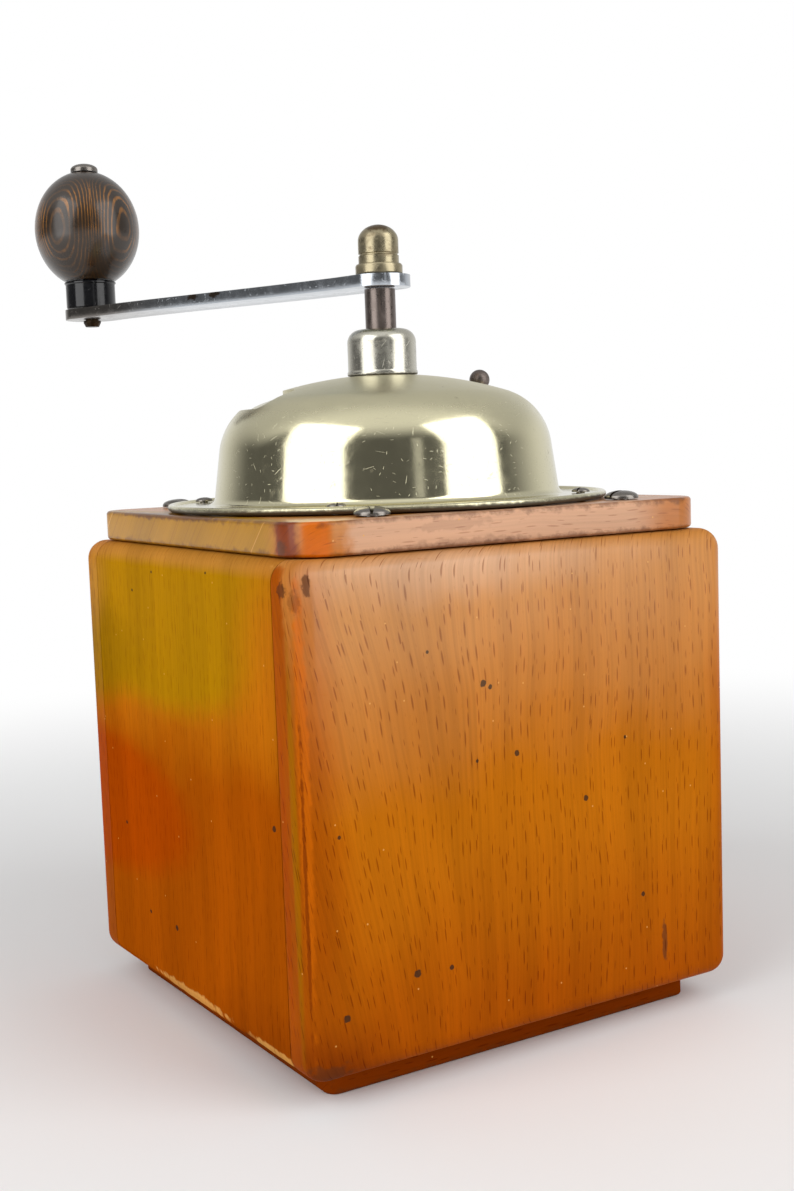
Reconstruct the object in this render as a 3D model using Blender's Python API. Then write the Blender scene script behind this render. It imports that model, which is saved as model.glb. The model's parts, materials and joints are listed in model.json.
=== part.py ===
"""Hand-cranked coffee mill.

A beech box with a drawer, closed by a board that carries a domed metal hopper.
A door inside the dome turns to open it for filling. Under the dome a toothed
ring and cone grind, on an upright shaft turned by a crank with a turned knob.

The origin is at the centre of the plinth's underside, with +Z up. The drawer
opens towards -Y. Lengths are in metres.
"""
from math import acos, asin, atan2, cos, hypot, pi, radians, sin, sqrt

import bmesh
import bpy
from mathutils import Matrix, Vector

# Clearances
gap = 0.0003
running_gap = 0.0005
tool_overrun = 0.004
weld_distance = 0.000001
smooth_limit = radians(32)

# Box of boards
box_side = 0.120
box_height = 0.1122
wall_thickness = 0.010
rebate_step = 0.004
box_edge_round = 0.005
bottom_thickness = 0.006
board_edge_round = 0.0006

# Plinth
plinth_height = 0.0057
plinth_inset = 0.0082
plinth_corner_round = 0.003

# Top board
top_board_thickness = 0.0075
top_board_inset = 0.0032
top_board_corner_round = 0.0095
top_board_edge_round = 0.0009

# Drawer
drawer_opening_height = 0.0466
drawer_front_thickness = 0.009
drawer_side_thickness = 0.004
drawer_bottom_thickness = 0.003
drawer_tray_height = 0.034
drawer_back_space = 0.005
drawer_knob_radius = 0.008
drawer_knob_length = 0.013
drawer_knob_crown_share = 0.35
drawer_knob_neck_shares = ((0.62, 0.38), (0.52, 0.2), (0.66, 0))
drawer_guide_width = 0.0077
drawer_guide_height = 0.010

# Dome
dome_height = 0.0323
dome_pad_radius = 0.0095
crown_radius = 0.100
shoulder_radius = 0.016
side_draft = radians(8)
brim_slope = radians(1)
brim_sink = 0.0006
dome_foot_round = 0.002
brim_width = 0.0135
rim_margin = 0.0012
rim_bead_radius = 0.00085
sheet_thickness = 0.0009

# Door and its opening
opening_edge_margin = 0.0056
opening_width = 0.011
opening_corner_round = 0.0035
opening_start = radians(-181)
opening_end = radians(5.5)
door_sheet_thickness = 0.0008
door_hub_radius = 0.0115
door_overlap = radians(4.5)
door_knob_radius = 0.0027
door_knob_height = 0.0076
door_knob_neck_radius = 0.0019
door_knob_under_turn = radians(-44)
door_knob_angle = radians(-173.6)
door_rivet_radius = 0.0012
door_rivet_head_radius = 0.0019
door_rivet_head_height = 0.0006

# Bush and bearing cap over it
bush_neck_radius = 0.0065
bush_neck_height = 0.0080
bush_flange_radius = 0.0095
bush_flange_thickness = 0.0015
bush_spigot_radius = 0.0052
bush_spigot_length = 0.0035
bearing_cap_radius = 0.0087
bearing_cap_height = 0.0115
bearing_cap_round = 0.0034
bearing_cap_lip = 0.0002
bearing_cap_lip_height = 0.0010

# Shaft
shaft_radius = 0.00395
shaft_exposed_length = 0.0103
shaft_square_side = 0.0054
shaft_stud_radius = 0.0026
shaft_stud_length = 0.0082
shaft_chamfer = 0.0005

# Crank arm, cap nut, knob
arm_length = 0.117
arm_angle = radians(-73.3)
arm_end_radius = 0.0078
arm_shank_width = 0.0146
arm_thickness = 0.0030
arm_rise = 0.0008
arm_edge_round = 0.0003
arm_edge_turn = radians(60)
arm_steps = 8
cap_nut_radius = 0.0051
cap_nut_height = 0.0124
cap_nut_collar_radius = 0.00595
cap_nut_collar_height = 0.0027
cap_nut_groove_depth = 0.0003
cap_nut_groove_height = 0.0046
cap_nut_groove_width = 0.0006
cap_nut_crown_share = 0.8
spindle_radius = 0.0020
spindle_head_radius = 0.0026
spindle_head_height = 0.0018
spindle_chamfer = 0.0006
ferrule_radius = 0.0073
ferrule_height = 0.0080
ferrule_lip = 0.0003
crank_knob_radius = 0.0154
crank_knob_height = 0.0317
crank_knob_waist_share = 0.47
crank_knob_seat_share = 0.50
knob_cap_radius = 0.0040
knob_cap_height = 0.0025
knob_cap_socket_depth = 0.0012
knob_cap_crown_share = 0.7

# Burr housing
housing_dome_clearance = 0.0029
housing_flange_width = 0.0082
housing_flange_thickness = 0.0022
housing_wall = 0.0026
bowl_depth = 0.0105
bowl_slope_height = 0.008
ring_outer_radius = 0.0215
ring_top_radius = 0.0150
ring_bottom_radius = 0.0174
ring_height = 0.024
ring_tooth_count = 24
ring_tooth_depth = 0.0009
ring_tooth_lean = radians(10)
housing_lug_radius = 0.0046
housing_lug_height = 0.016
housing_lug_reach = 0.0245

# Burr cone
cone_bottom_radius = 0.0157
cone_middle_radius = 0.0128
cone_top_radius = 0.0082
cone_height = 0.026
cone_foot_height = 0.0012
cone_neck_radius = 0.0068
cone_neck_height = 0.007
cone_tooth_count = 18
cone_tooth_depth = 0.0009
cone_tooth_lean = radians(55)
cone_drop = 0.0012

# Saw teeth: where a tooth starts, peaks and crosses its middle
tooth_start_share = 0.01
tooth_peak_share = 0.6
tooth_middle_share = 0.5

# Pin and washer
burr_pin_radius = 0.0012
washer_radius = 0.0082
washer_thickness = 0.0012

# Shaft spring
spring_curls = 8
spring_points_per_curl = 8
spring_wire_radius = 0.0007
spring_mean_radius = 0.0063
spring_end_share = 0.75

# Bridge, adjusting screw and detent
bridge_width = 0.013
bridge_thickness = 0.006
bridge_drop = 0.0022
adjuster_stem_radius = 0.0045
adjuster_stem_length = 0.0145
adjuster_wheel_radius = 0.013
adjuster_wheel_thickness = 0.004
adjuster_notch_count = 16
adjuster_notch_depth = 0.0008
ball_radius = 0.00285
detent_width = 0.006
detent_thickness = 0.0006
detent_foot_length = 0.0055
detent_nose = 0.0008

# Screws: the shank's radius and the length under the head
top_screw_radius = 0.00195
top_screw_length = 0.022
flange_screw_radius = 0.00105
flange_screw_length = 0.0075
housing_screw_radius = 0.0013
housing_screw_length = 0.0080
plinth_screw_radius = 0.0015
plinth_screw_length = 0.0095
bridge_screw_radius = 0.0015
bridge_screw_length = 0.0160
detent_screw_radius = 0.0010
detent_screw_length = 0.0045
drawer_screw_radius = 0.0014
drawer_screw_length = 0.0160
screw_head_share = 2.1
screw_head_height_share = 0.48
screw_head_edge_share = 0.3
screw_crown_turn = radians(68)
screw_slot_width_share = 0.22
screw_slot_floor_share = 0.45
screw_tip_share = 1.6

# Places of the screws
top_screw_rim_clearance = 0.0012
top_screw_side_shares = ((0.937, 1.007), (-1, 1), (-1, -1), (1, -1))
top_screw_wall_share = 0.2
top_screw_turns = (radians(58), radians(10), radians(75), radians(130))
flange_screw_inset = 0.0061
flange_screw_angles = (radians(45), radians(135), radians(225), radians(315))
flange_screw_turns = (radians(20), radians(75), radians(140), radians(5))
housing_screw_angles = (radians(30), radians(150), radians(270))
plinth_screw_spread_share = 0.72
detent_screw_foot_share = 0.6

# Heights that stack from the ones above
wall_bottom = plinth_height + gap
bottom_top = wall_bottom + bottom_thickness
box_top = wall_bottom + box_height
board_bottom = box_top + gap
board_top = board_bottom + top_board_thickness
box_half = box_side / 2
inner_half = box_half - wall_thickness
end_inner_half = inner_half - rebate_step
plinth_half = box_half - plinth_inset
top_half = box_half - top_board_inset
drawer_opening_width = 2 * (inner_half - gap - drawer_guide_width)
dome_seat = board_top + gap
dome_top = board_top + dome_height
door_top = dome_top - sheet_thickness - running_gap
door_bottom = door_top - door_sheet_thickness
bush_flange_top = door_bottom - gap
bush_flange_bottom = bush_flange_top - bush_flange_thickness
bush_bottom = bush_flange_bottom - bush_spigot_length
bush_top = dome_top + bush_neck_height
bush_bore = bush_neck_radius + gap
shaft_bore = shaft_radius + gap
bearing_cap_bottom = dome_top + gap
bearing_cap_top = bearing_cap_bottom + bearing_cap_height
arm_bottom = bearing_cap_top + shaft_exposed_length
arm_top = arm_bottom + arm_thickness
shaft_shoulder = arm_bottom - gap
cap_nut_bottom = arm_top + gap
stud_top = cap_nut_bottom + shaft_stud_length
knob_place = (arm_length * cos(arm_angle), arm_length * sin(arm_angle))
arm_tip_top = arm_top + arm_rise
arm_tip_bottom = arm_tip_top - arm_thickness
ferrule_bottom = arm_tip_top + gap
crank_knob_bottom = ferrule_bottom + ferrule_height + gap
crank_knob_top = crank_knob_bottom + crank_knob_height
knob_cap_bottom = crank_knob_top + gap
spindle_bore = spindle_radius + gap
housing_seat = board_top + gap
housing_top = housing_seat + housing_flange_thickness
bowl_bottom = housing_seat - bowl_depth
ring_top = bowl_bottom - bowl_slope_height
ring_bottom = ring_top - ring_height
bridge_top = ring_bottom - bridge_drop
bridge_bottom = bridge_top - bridge_thickness
cone_bottom = ring_bottom - cone_drop
cone_top = cone_bottom + cone_height
cone_neck_top = cone_top + cone_neck_height
washer_bottom = cone_neck_top + gap
spring_bottom = washer_bottom + washer_thickness + gap
spring_top = bush_flange_bottom - gap
shaft_bottom = cone_bottom + gap
ball_centre = shaft_bottom - gap - ball_radius
adjuster_top = ball_centre - ball_radius - gap
adjuster_wheel_top = adjuster_top - adjuster_stem_length
adjuster_wheel_bottom = adjuster_wheel_top - adjuster_wheel_thickness
plinth_screw_seat = 2 * gap
plinth_screw_spread = plinth_half * plinth_screw_spread_share

# Widths that follow the top board, from the dome's rim inwards
rim_radius = top_half - rim_margin
dome_radius = rim_radius - brim_width
opening_outer_radius = dome_radius - opening_edge_margin
opening_inner_radius = opening_outer_radius - opening_width
housing_flange_radius = dome_radius - housing_dome_clearance
bowl_radius = housing_flange_radius - housing_flange_width
housing_screw_reach = (bowl_radius + housing_flange_radius) / 2
flange_screw_reach = rim_radius - flange_screw_inset
top_screw_line = end_inner_half + (box_half - end_inner_half) * top_screw_wall_share
top_screw_reach = rim_radius + top_screw_rim_clearance + top_screw_radius * screw_head_share
top_screw_spread = sqrt(top_screw_reach ** 2 - top_screw_line ** 2)


def clear_scene():
    """Removes every object, so that the script starts from nothing."""
    for item in list(bpy.data.objects):
        bpy.data.objects.remove(item)


def material(name, colour, roughness, metallic=0.0):
    """A plain Principled material."""
    finish = bpy.data.materials.new(name)
    finish.use_nodes = True
    shader = finish.node_tree.nodes["Principled BSDF"]
    shader.inputs["Base Color"].default_value = (*colour, 1)
    shader.inputs["Roughness"].default_value = roughness
    shader.inputs["Metallic"].default_value = metallic
    finish.diffuse_color = (*colour, 1)
    return finish


def empty(name, location, parent=None):
    """An empty that marks a joint's axis."""
    marker = bpy.data.objects.new(name, None)
    marker.location = location
    marker.parent = parent
    bpy.context.scene.collection.objects.link(marker)
    return marker


def solid(name, shape, finish=None, parent=None, frame=None):
    """Makes a named object of a shape, smooth but for its sharp edges."""
    bmesh.ops.recalc_face_normals(shape, faces=shape.faces)
    mesh = bpy.data.meshes.new(name)
    shape.to_mesh(mesh)
    shape.free()
    mesh.shade_smooth()
    mesh.set_sharp_from_angle(angle=smooth_limit)
    if finish:
        mesh.materials.append(finish)
    return placed(mesh, name, frame or Matrix(), parent)


def placed(mesh, name, frame, parent=None):
    """An object that shows a mesh at a place under its parent."""
    piece = bpy.data.objects.new(name, mesh)
    piece.matrix_basis = frame
    piece.parent = parent
    bpy.context.scene.collection.objects.link(piece)
    return piece


def frame_at(x, y, z, turn=0.0, lean=0.0, spin=0.0):
    """A place whose own Z axis leans outward in the direction of its turn."""
    return (Matrix.Translation((x, y, z)) @ Matrix.Rotation(turn, 4, "Z") @ Matrix.Rotation(lean, 4, "Y")
            @ Matrix.Rotation(spin, 4, "Z"))


def combine(piece, other, operation):
    """Cuts, joins or trims a piece by a hidden helper shape."""
    other.hide_render = True
    other.display_type = "WIRE"
    other.parent = piece.parent
    modifier = piece.modifiers.new(operation.lower(), "BOOLEAN")
    modifier.operation = operation
    modifier.solver = "EXACT"
    modifier.object = other


def settled(piece):
    """Takes a piece's finished mesh, which copies then share, and removes the piece."""
    graph = bpy.context.evaluated_depsgraph_get()
    mesh = bpy.data.meshes.new_from_object(piece.evaluated_get(graph))
    bpy.data.objects.remove(piece)
    return mesh


def arc(centre, radius, start, end, steps):
    """Points along an arc, both ends included."""
    turns = [start + (end - start) * step / steps for step in range(steps + 1)]
    return [(centre[0] + radius * cos(turn), centre[1] + radius * sin(turn)) for turn in turns]


def joined(*stretches):
    """One line through several stretches, with shared ends kept once."""
    line = []
    for stretch in stretches:
        for point in stretch:
            if not line or hypot(point[0] - line[-1][0], point[1] - line[-1][1]) > weld_distance:
                line.append(point)
    return line


def turned(outline, steps):
    """Spins a closed outline of (radius, height) points round the Z axis."""
    shape = bmesh.new()
    points = [shape.verts.new((radius, 0, height)) for radius, height in outline]
    edges = [shape.edges.new((here, there)) for here, there in zip(points, points[1:] + points[:1])
             if max(here.co.x, there.co.x) > weld_distance]
    bmesh.ops.spin(shape, geom=points + edges, axis=(0, 0, 1), cent=(0, 0, 0), angle=2 * pi,
                   steps=steps, use_merge=True)
    bmesh.ops.remove_doubles(shape, verts=shape.verts, dist=weld_distance)
    return shape


def turned_at(outline, frames, steps):
    """The same turned shape at several places."""
    shape = bmesh.new()
    for frame in frames:
        single = turned(outline, steps)
        single.transform(frame)
        mesh = bpy.data.meshes.new("single")
        single.to_mesh(mesh)
        single.free()
        shape.from_mesh(mesh)
    return shape


def rod(radius, low, high):
    """The outline of a plain rod."""
    return [(0, low), (radius, low), (radius, high), (0, high)]


def drill(piece, frames, outline, steps=12):
    """Cuts a turned hole in a piece at each of several places."""
    combine(piece, solid(piece.name + "_holes", turned_at(outline, frames, steps)), "DIFFERENCE")


def prism(outline, low, high):
    """Extrudes an outline of (x, y) points from one height to another."""
    shape = bmesh.new()
    face = shape.faces.new([shape.verts.new((x, y, low)) for x, y in outline])
    grown = bmesh.ops.extrude_face_region(shape, geom=[face])
    raised = [item for item in grown["geom"] if isinstance(item, bmesh.types.BMVert)]
    bmesh.ops.translate(shape, verts=raised, vec=(0, 0, high - low))
    return shape


def block(low, high, upright_round=0.0, edge_round=0.0, steps=2):
    """A cuboid between two corners, with its uprights and other edges rounded."""
    size = Vector(high) - Vector(low)
    middle = (Vector(high) + Vector(low)) / 2
    shape = bmesh.new()
    bmesh.ops.create_cube(shape, size=1, matrix=Matrix.Translation(middle) @ Matrix.Diagonal((*size, 1)))
    edges = list(shape.edges)
    if upright_round:
        uprights = [edge for edge in edges if abs(edge.verts[0].co.z - edge.verts[1].co.z) > size.z / 2]
        bmesh.ops.bevel(shape, geom=uprights, offset=upright_round, segments=3 * steps, profile=0.5,
                        affect="EDGES")
        edges = [edge for edge in shape.edges
                 if abs(edge.verts[0].co.z - edge.verts[1].co.z) < size.z / 2]
    if edge_round:
        bmesh.ops.bevel(shape, geom=edges, offset=edge_round, segments=steps, profile=0.5, affect="EDGES")
    return shape


def screw_mesh(name, radius, length, finish, steps=12, countersunk=False):
    """A slotted screw that points down, its head seated at height zero."""
    head = radius * screw_head_share
    height = head * screw_head_height_share
    slot_floor = height * screw_slot_floor_share
    if countersunk:
        outline = [(0, 0), (head, 0), (radius, -height)]
        slot_floor -= height
    else:
        edge = height * screw_head_edge_share
        crown = arc((0, 0), 1, screw_crown_turn, 0, 3)
        outline = [(0, height)] + [(head * x, edge + (height - edge) * y) for x, y in crown]
        outline += [(head, 0), (radius, 0)]
    outline += [(radius, radius * screw_tip_share - length), (0, -length)]
    screw = solid(name, turned(outline, steps), finish)
    half_width = head * screw_slot_width_share / 2
    slot = solid(name + "_slot", block((-2 * head, -half_width, slot_floor), (2 * head, half_width, 2 * height)))
    combine(screw, slot, "DIFFERENCE")
    mesh = settled(screw)
    bpy.data.objects.remove(slot)
    return mesh


def put_screws(name, mesh, frames):
    """Numbered screws that share a mesh."""
    for number, frame in enumerate(frames):
        placed(mesh, "%s_%d" % (name, number + 1), frame)


def cut_teeth(shape, count, depth, lean, low, high, inner, outer):
    """Presses saw teeth into the skin between two radii, leaning with height."""
    for point in shape.verts:
        radius = hypot(point.co.x, point.co.y)
        inside = low - weld_distance < point.co.z < high + weld_distance
        if not (inner < radius < outer and inside):
            continue
        turn = atan2(point.co.y, point.co.x)
        phase = (turn * count / (2 * pi) + tooth_start_share) % 1
        rise = min(phase / tooth_peak_share, (1 - phase) / (1 - tooth_peak_share))
        radius += depth * (rise - tooth_middle_share)
        turn += lean * (point.co.z - low) / (high - low)
        point.co.x = radius * cos(turn)
        point.co.y = radius * sin(turn)


def crossing(normal_a, distance_a, normal_b, distance_b):
    """The point that lies at a distance along each of two normals."""
    turn = normal_a[0] * normal_b[1] - normal_a[1] * normal_b[0]
    return ((distance_a * normal_b[1] - distance_b * normal_a[1]) / turn,
            (normal_a[0] * distance_b - normal_b[0] * distance_a) / turn)


# The dome's curve: a shallow crown, a rounder shoulder and a drafted side, all tangent
pad_turn = asin(dome_pad_radius / crown_radius)
crown_centre = (0, dome_top - crown_radius * cos(pad_turn))
shoulder_end_turn = pi / 2 - side_draft
shoulder_turn = asin((dome_radius - shoulder_radius * sin(shoulder_end_turn))
                     / (crown_radius - shoulder_radius))
shoulder_centre = ((crown_radius - shoulder_radius) * sin(shoulder_turn),
                   crown_centre[1] + (crown_radius - shoulder_radius) * cos(shoulder_turn))
side_normal = (cos(side_draft), sin(side_draft))
brim_normal = (sin(brim_slope), cos(brim_slope))
bead_centre = (rim_radius - rim_bead_radius, dome_seat + rim_bead_radius)
side_distance = (side_normal[0] * shoulder_centre[0] + side_normal[1] * shoulder_centre[1]
                 + shoulder_radius)
brim_distance = (brim_normal[0] * bead_centre[0] + brim_normal[1] * bead_centre[1] + rim_bead_radius
                 - brim_sink)
foot_centre = crossing(side_normal, side_distance + dome_foot_round,
                       brim_normal, brim_distance + dome_foot_round)


def brim_frames():
    """Where the small screws sit square on the sloping brim."""
    height = (brim_distance + gap - brim_normal[0] * flange_screw_reach) / brim_normal[1]
    return [frame_at(flange_screw_reach * cos(angle), flange_screw_reach * sin(angle), height,
                     turn=angle, lean=brim_slope, spin=spin)
            for angle, spin in zip(flange_screw_angles, flange_screw_turns)]


def dome_line(inset, crown_steps, shoulder_steps):
    """From the bore over crown and shoulder, at an inset from the dome's face."""
    crown = arc(crown_centre, crown_radius - inset, pi / 2 - pad_turn, pi / 2 - shoulder_turn, crown_steps)
    shoulder = arc(shoulder_centre, shoulder_radius - inset, pi / 2 - shoulder_turn,
                   pi / 2 - shoulder_end_turn, shoulder_steps)
    return joined([(bush_bore, crown[0][1])], crown, shoulder)


def bead_turn(inset):
    """Where the brim, at an inset from its face, meets the rim's bead, as an angle round the bead."""
    return pi / 2 - brim_slope + acos((rim_bead_radius - brim_sink - inset) / rim_bead_radius)


def dome_skirt(inset, foot_steps):
    """From the shoulder's end down the side, round the foot and out to the rim's bead."""
    foot = arc(foot_centre, dome_foot_round + inset, pi + side_draft, 1.5 * pi - brim_slope, foot_steps)
    return foot + arc(bead_centre, rim_bead_radius, bead_turn(inset), bead_turn(inset), 1)[:1]


def bent_slot(inner, outer, start, end, corner, steps, corner_steps):
    """The outline of a slot bent round the axis, with rounded corners."""
    far, near = outer - corner, inner + corner
    far_turn, near_turn = asin(corner / far), asin(corner / near)

    def about(radius, turn):
        return (radius * cos(turn), radius * sin(turn))

    line = joined(
        arc((0, 0), outer, start + far_turn, end - far_turn, steps),
        arc(about(far, end - far_turn), corner, end - far_turn, end + pi / 2, corner_steps),
        arc(about(near, end - near_turn), corner, end + pi / 2, end - near_turn + pi, corner_steps),
        arc((0, 0), inner, end - near_turn, start + near_turn, steps),
        arc(about(near, start + near_turn), corner, start + near_turn + pi, start + 1.5 * pi, corner_steps),
        arc(about(far, start + far_turn), corner, start - pi / 2, start + far_turn, corner_steps))
    return line[:-1]


def on_circle(radius, angles, height=0.0):
    """Upright places on a circle about the axis."""
    return [frame_at(radius * cos(angle), radius * sin(angle), height, turn=angle) for angle in angles]


def top_screw_frames(height=0.0):
    """The four screws that hold the top board to the front and back boards."""
    return [frame_at(x * top_screw_spread, y * top_screw_line, height, turn=turn)
            for (x, y), turn in zip(top_screw_side_shares, top_screw_turns)]


def plinth_screw_frames(height=0.0, lean=0.0):
    """The four screws near the plinth's corners."""
    return [frame_at(x * plinth_screw_spread, y * plinth_screw_spread, height, lean=lean)
            for x in (-1, 1) for y in (-1, 1)]


def build_walls(wood):
    """Four rebated walls, trimmed to one box with rounded edges."""
    form = solid("box_form", block((-box_half, -box_half, wall_bottom), (box_half, box_half, box_top),
                                   edge_round=box_edge_round, steps=4))
    reach = box_half + tool_overrun
    low, high = wall_bottom - tool_overrun, box_top + tool_overrun
    side_end = inner_half - gap
    for name, side in (("left_side_board", -1), ("right_side_board", 1)):
        near, far = sorted((side * inner_half, side * reach))
        board = solid(name, block((near, -side_end, low), (far, side_end, high)), wood)
        combine(board, form, "INTERSECT")

    for name, side in (("front_board", -1), ("back_board", 1)):
        edge, step, face = side * reach, side * inner_half, side * end_inner_half
        outline = [(-reach, edge), (-reach, step), (-side_end, step), (-side_end, face),
                   (side_end, face), (side_end, step), (reach, step), (reach, edge)]
        board = solid(name, prism(outline, low, high), wood)
        combine(board, form, "INTERSECT")
        frames = [frame for frame in top_screw_frames() if frame.translation.y * side > 0]
        hole_floor = board_top - top_screw_length - gap
        drill(board, frames, rod(top_screw_radius + gap, hole_floor, high))
    half = drawer_opening_width / 2
    opening = block((-half, -reach, bottom_top), (half, tool_overrun - end_inner_half,
                                                  bottom_top + drawer_opening_height))
    combine(bpy.data.objects["front_board"], solid("drawer_opening", opening), "DIFFERENCE")


def build_boards(wood):
    """The bottom, the plinth under it and the top board."""
    bottom = solid("bottom_board", block((gap - inner_half, gap - end_inner_half, wall_bottom),
                                         (inner_half - gap, end_inner_half - gap, bottom_top)), wood)
    shank = plinth_screw_radius + gap
    shank_top = plinth_screw_seat + plinth_screw_length + gap
    drill(bottom, plinth_screw_frames(), rod(shank, wall_bottom - tool_overrun, shank_top))

    plinth = solid("plinth_board", block((-plinth_half, -plinth_half, 0), (plinth_half, plinth_half, plinth_height),
                                         upright_round=plinth_corner_round, edge_round=board_edge_round,
                                         steps=1), wood)
    head = plinth_screw_radius * screw_head_share
    cone_top_height = plinth_screw_seat + head * screw_head_height_share
    sink = [(0, -tool_overrun), (head + gap, -tool_overrun), (head + gap, plinth_screw_seat),
            (shank, cone_top_height), (shank, plinth_height + tool_overrun), (0, plinth_height + tool_overrun)]
    drill(plinth, plinth_screw_frames(), sink)

    top = solid("top_board", block((-top_half, -top_half, board_bottom), (top_half, top_half, board_top),
                                   upright_round=top_board_corner_round, edge_round=top_board_edge_round), wood)
    low, high = board_bottom - tool_overrun, board_top + tool_overrun
    drill(top, [Matrix()], rod(bowl_radius + running_gap, low, high), steps=40)
    drill(top, top_screw_frames(), rod(top_screw_radius + gap, low, high), steps=8)
    drill(top, brim_frames(), rod(flange_screw_radius + gap, -flange_screw_length - gap, tool_overrun), steps=8)
    drill(top, on_circle(housing_screw_reach, housing_screw_angles),
          rod(housing_screw_radius + gap, housing_top - housing_screw_length, high), steps=8)


def build_screws(steel):
    """The screws in the wood and in the metal on it."""
    put_screws("top_screw", screw_mesh("top_screw", top_screw_radius, top_screw_length, steel, 14),
               top_screw_frames(board_top + gap))
    put_screws("flange_screw", screw_mesh("flange_screw", flange_screw_radius, flange_screw_length, steel, 10),
               brim_frames())
    put_screws("housing_screw", screw_mesh("housing_screw", housing_screw_radius, housing_screw_length, steel, 8),
               on_circle(housing_screw_reach, housing_screw_angles, housing_top + gap))
    put_screws("plinth_screw", screw_mesh("plinth_screw", plinth_screw_radius, plinth_screw_length, steel, 10,
                                          countersunk=True),
               plinth_screw_frames(plinth_screw_seat, lean=pi))
    put_screws("bridge_screw", screw_mesh("bridge_screw", bridge_screw_radius, bridge_screw_length, steel, 8),
               [frame_at(x * housing_lug_reach, 0, bridge_bottom - gap, lean=pi) for x in (-1, 1)])


def build_drawer(wood, steel):
    """The drawer's front, tray and knob. Their shared origin is on the drawer's slide."""
    slide = empty("drawer_slide", (0, -box_half, bottom_top))

    def board(name, low, high, edge_round=0.0):
        lowered = [Vector(corner) - slide.location for corner in (low, high)]
        return solid(name, block(*lowered, edge_round=edge_round, steps=1), wood, slide)

    half = drawer_opening_width / 2 - running_gap
    inside = half - drawer_side_thickness
    floor = bottom_top + gap
    tray_top = floor + drawer_tray_height
    tray_front = drawer_front_thickness - box_half + gap
    tray_back = end_inner_half - drawer_back_space
    front = board("drawer_front", (-half, -box_half, floor + gap),
                  (half, tray_front - gap, bottom_top + drawer_opening_height - running_gap), board_edge_round)
    board("drawer_left_side", (-half, tray_front, floor), (-inside, tray_back, tray_top))
    board("drawer_right_side", (inside, tray_front, floor), (half, tray_back, tray_top))
    board("drawer_back", (gap - inside, tray_back - drawer_side_thickness, floor),
          (inside - gap, tray_back, tray_top))
    board("drawer_bottom", (gap - inside, tray_front, floor),
          (inside - gap, tray_back - drawer_side_thickness - gap, floor + drawer_bottom_thickness))

    outward = Matrix.Translation((0, 0, drawer_opening_height / 2)) @ Matrix.Rotation(pi / 2, 4, "X")
    radius, length = drawer_knob_radius, drawer_knob_length
    crown = length * drawer_knob_crown_share
    bore = drawer_screw_radius + gap
    socket = drawer_screw_length - drawer_front_thickness + gap
    profile = [(radius * x, length - crown + crown * y) for x, y in arc((0, 0), 1, pi / 2, 0, 4)]
    profile += [(radius * x, gap + length * y) for x, y in drawer_knob_neck_shares]
    profile += [(bore, gap), (bore, socket), (0, socket)]
    solid("drawer_knob", turned(profile, 20), wood, slide, outward)
    drill(front, [outward], rod(bore, -drawer_front_thickness - tool_overrun, tool_overrun))
    mesh = screw_mesh("drawer_knob_screw", drawer_screw_radius, drawer_screw_length, steel, 10)
    inward = outward @ frame_at(0, 0, -drawer_front_thickness - gap, lean=pi)
    placed(mesh, "drawer_knob_screw", inward, slide)

    for name, side in (("drawer_guide_left", -1), ("drawer_guide_right", 1)):
        near, far = sorted((side * (half + running_gap), side * (inner_half - gap)))
        solid(name, block((near, gap - end_inner_half, floor), (far, end_inner_half - gap,
                                                                floor + drawer_guide_height)), wood)


def build_dome(nickel):
    """The spun dome, one sheet from the bore out to its rolled rim, with the opening for the door."""
    outer = dome_line(0, 2, 5) + dome_skirt(0, 2)
    inner = dome_line(sheet_thickness, 2, 3) + dome_skirt(sheet_thickness, 1)
    bead = arc(bead_centre, rim_bead_radius, bead_turn(0), bead_turn(sheet_thickness) - 2 * pi, 5)
    dome = solid("hopper_dome", turned(joined(outer, bead, inner[::-1]), 48), nickel)
    slot = bent_slot(opening_inner_radius, opening_outer_radius, opening_start, opening_end,
                     opening_corner_round, 24, 3)
    combine(dome, solid("door_opening", prism(slot, shoulder_centre[1], dome_top + tool_overrun)), "DIFFERENCE")
    drill(dome, brim_frames(), rod(flange_screw_radius + gap, -tool_overrun, tool_overrun), steps=8)


def build_door(nickel):
    """The door: a dish under the dome, cut to a sector, that turns on the bush and has a riveted knob."""
    pivot = empty("door_axis", (0, 0, dome_top))
    face = sheet_thickness + running_gap
    outline = dome_line(face, 2, 5) + dome_line(face + door_sheet_thickness, 2, 3)[::-1]
    door = solid("hopper_door", turned([(radius, height - dome_top) for radius, height in outline], 48),
                 nickel, pivot)
    first, last = opening_end + door_overlap, opening_start - door_overlap + 2 * pi
    waste = arc((0, 0), rim_radius, first, last, 20) + arc((0, 0), door_hub_radius, last, first, 10)
    combine(door, solid("door_waste", prism(waste, -dome_height, tool_overrun)), "DIFFERENCE")

    reach = (opening_inner_radius + opening_outer_radius) / 2
    slope = asin((reach - shoulder_centre[0]) / (shoulder_radius - face))
    seat = shoulder_centre[1] + (shoulder_radius - face) * cos(slope) - dome_top
    outward = reach + gap * sin(slope)
    frame = frame_at(outward * cos(door_knob_angle), outward * sin(door_knob_angle), seat + gap * cos(slope),
                     turn=door_knob_angle, lean=slope)
    radius, height = door_knob_radius, door_knob_height
    under = -door_sheet_thickness - 3 * gap
    profile = arc((0, height - radius), radius, pi / 2, door_knob_under_turn, 5)
    profile += [(door_knob_neck_radius, 0), (door_rivet_radius, 0), (door_rivet_radius, under), (door_rivet_head_radius, under),
                (door_rivet_head_radius, under - door_rivet_head_height), (0, under - door_rivet_head_height)]
    solid("door_knob", turned(profile, 14), nickel, pivot, frame)
    drill(door, [frame], rod(door_rivet_radius + gap, -tool_overrun, tool_overrun))


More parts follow.
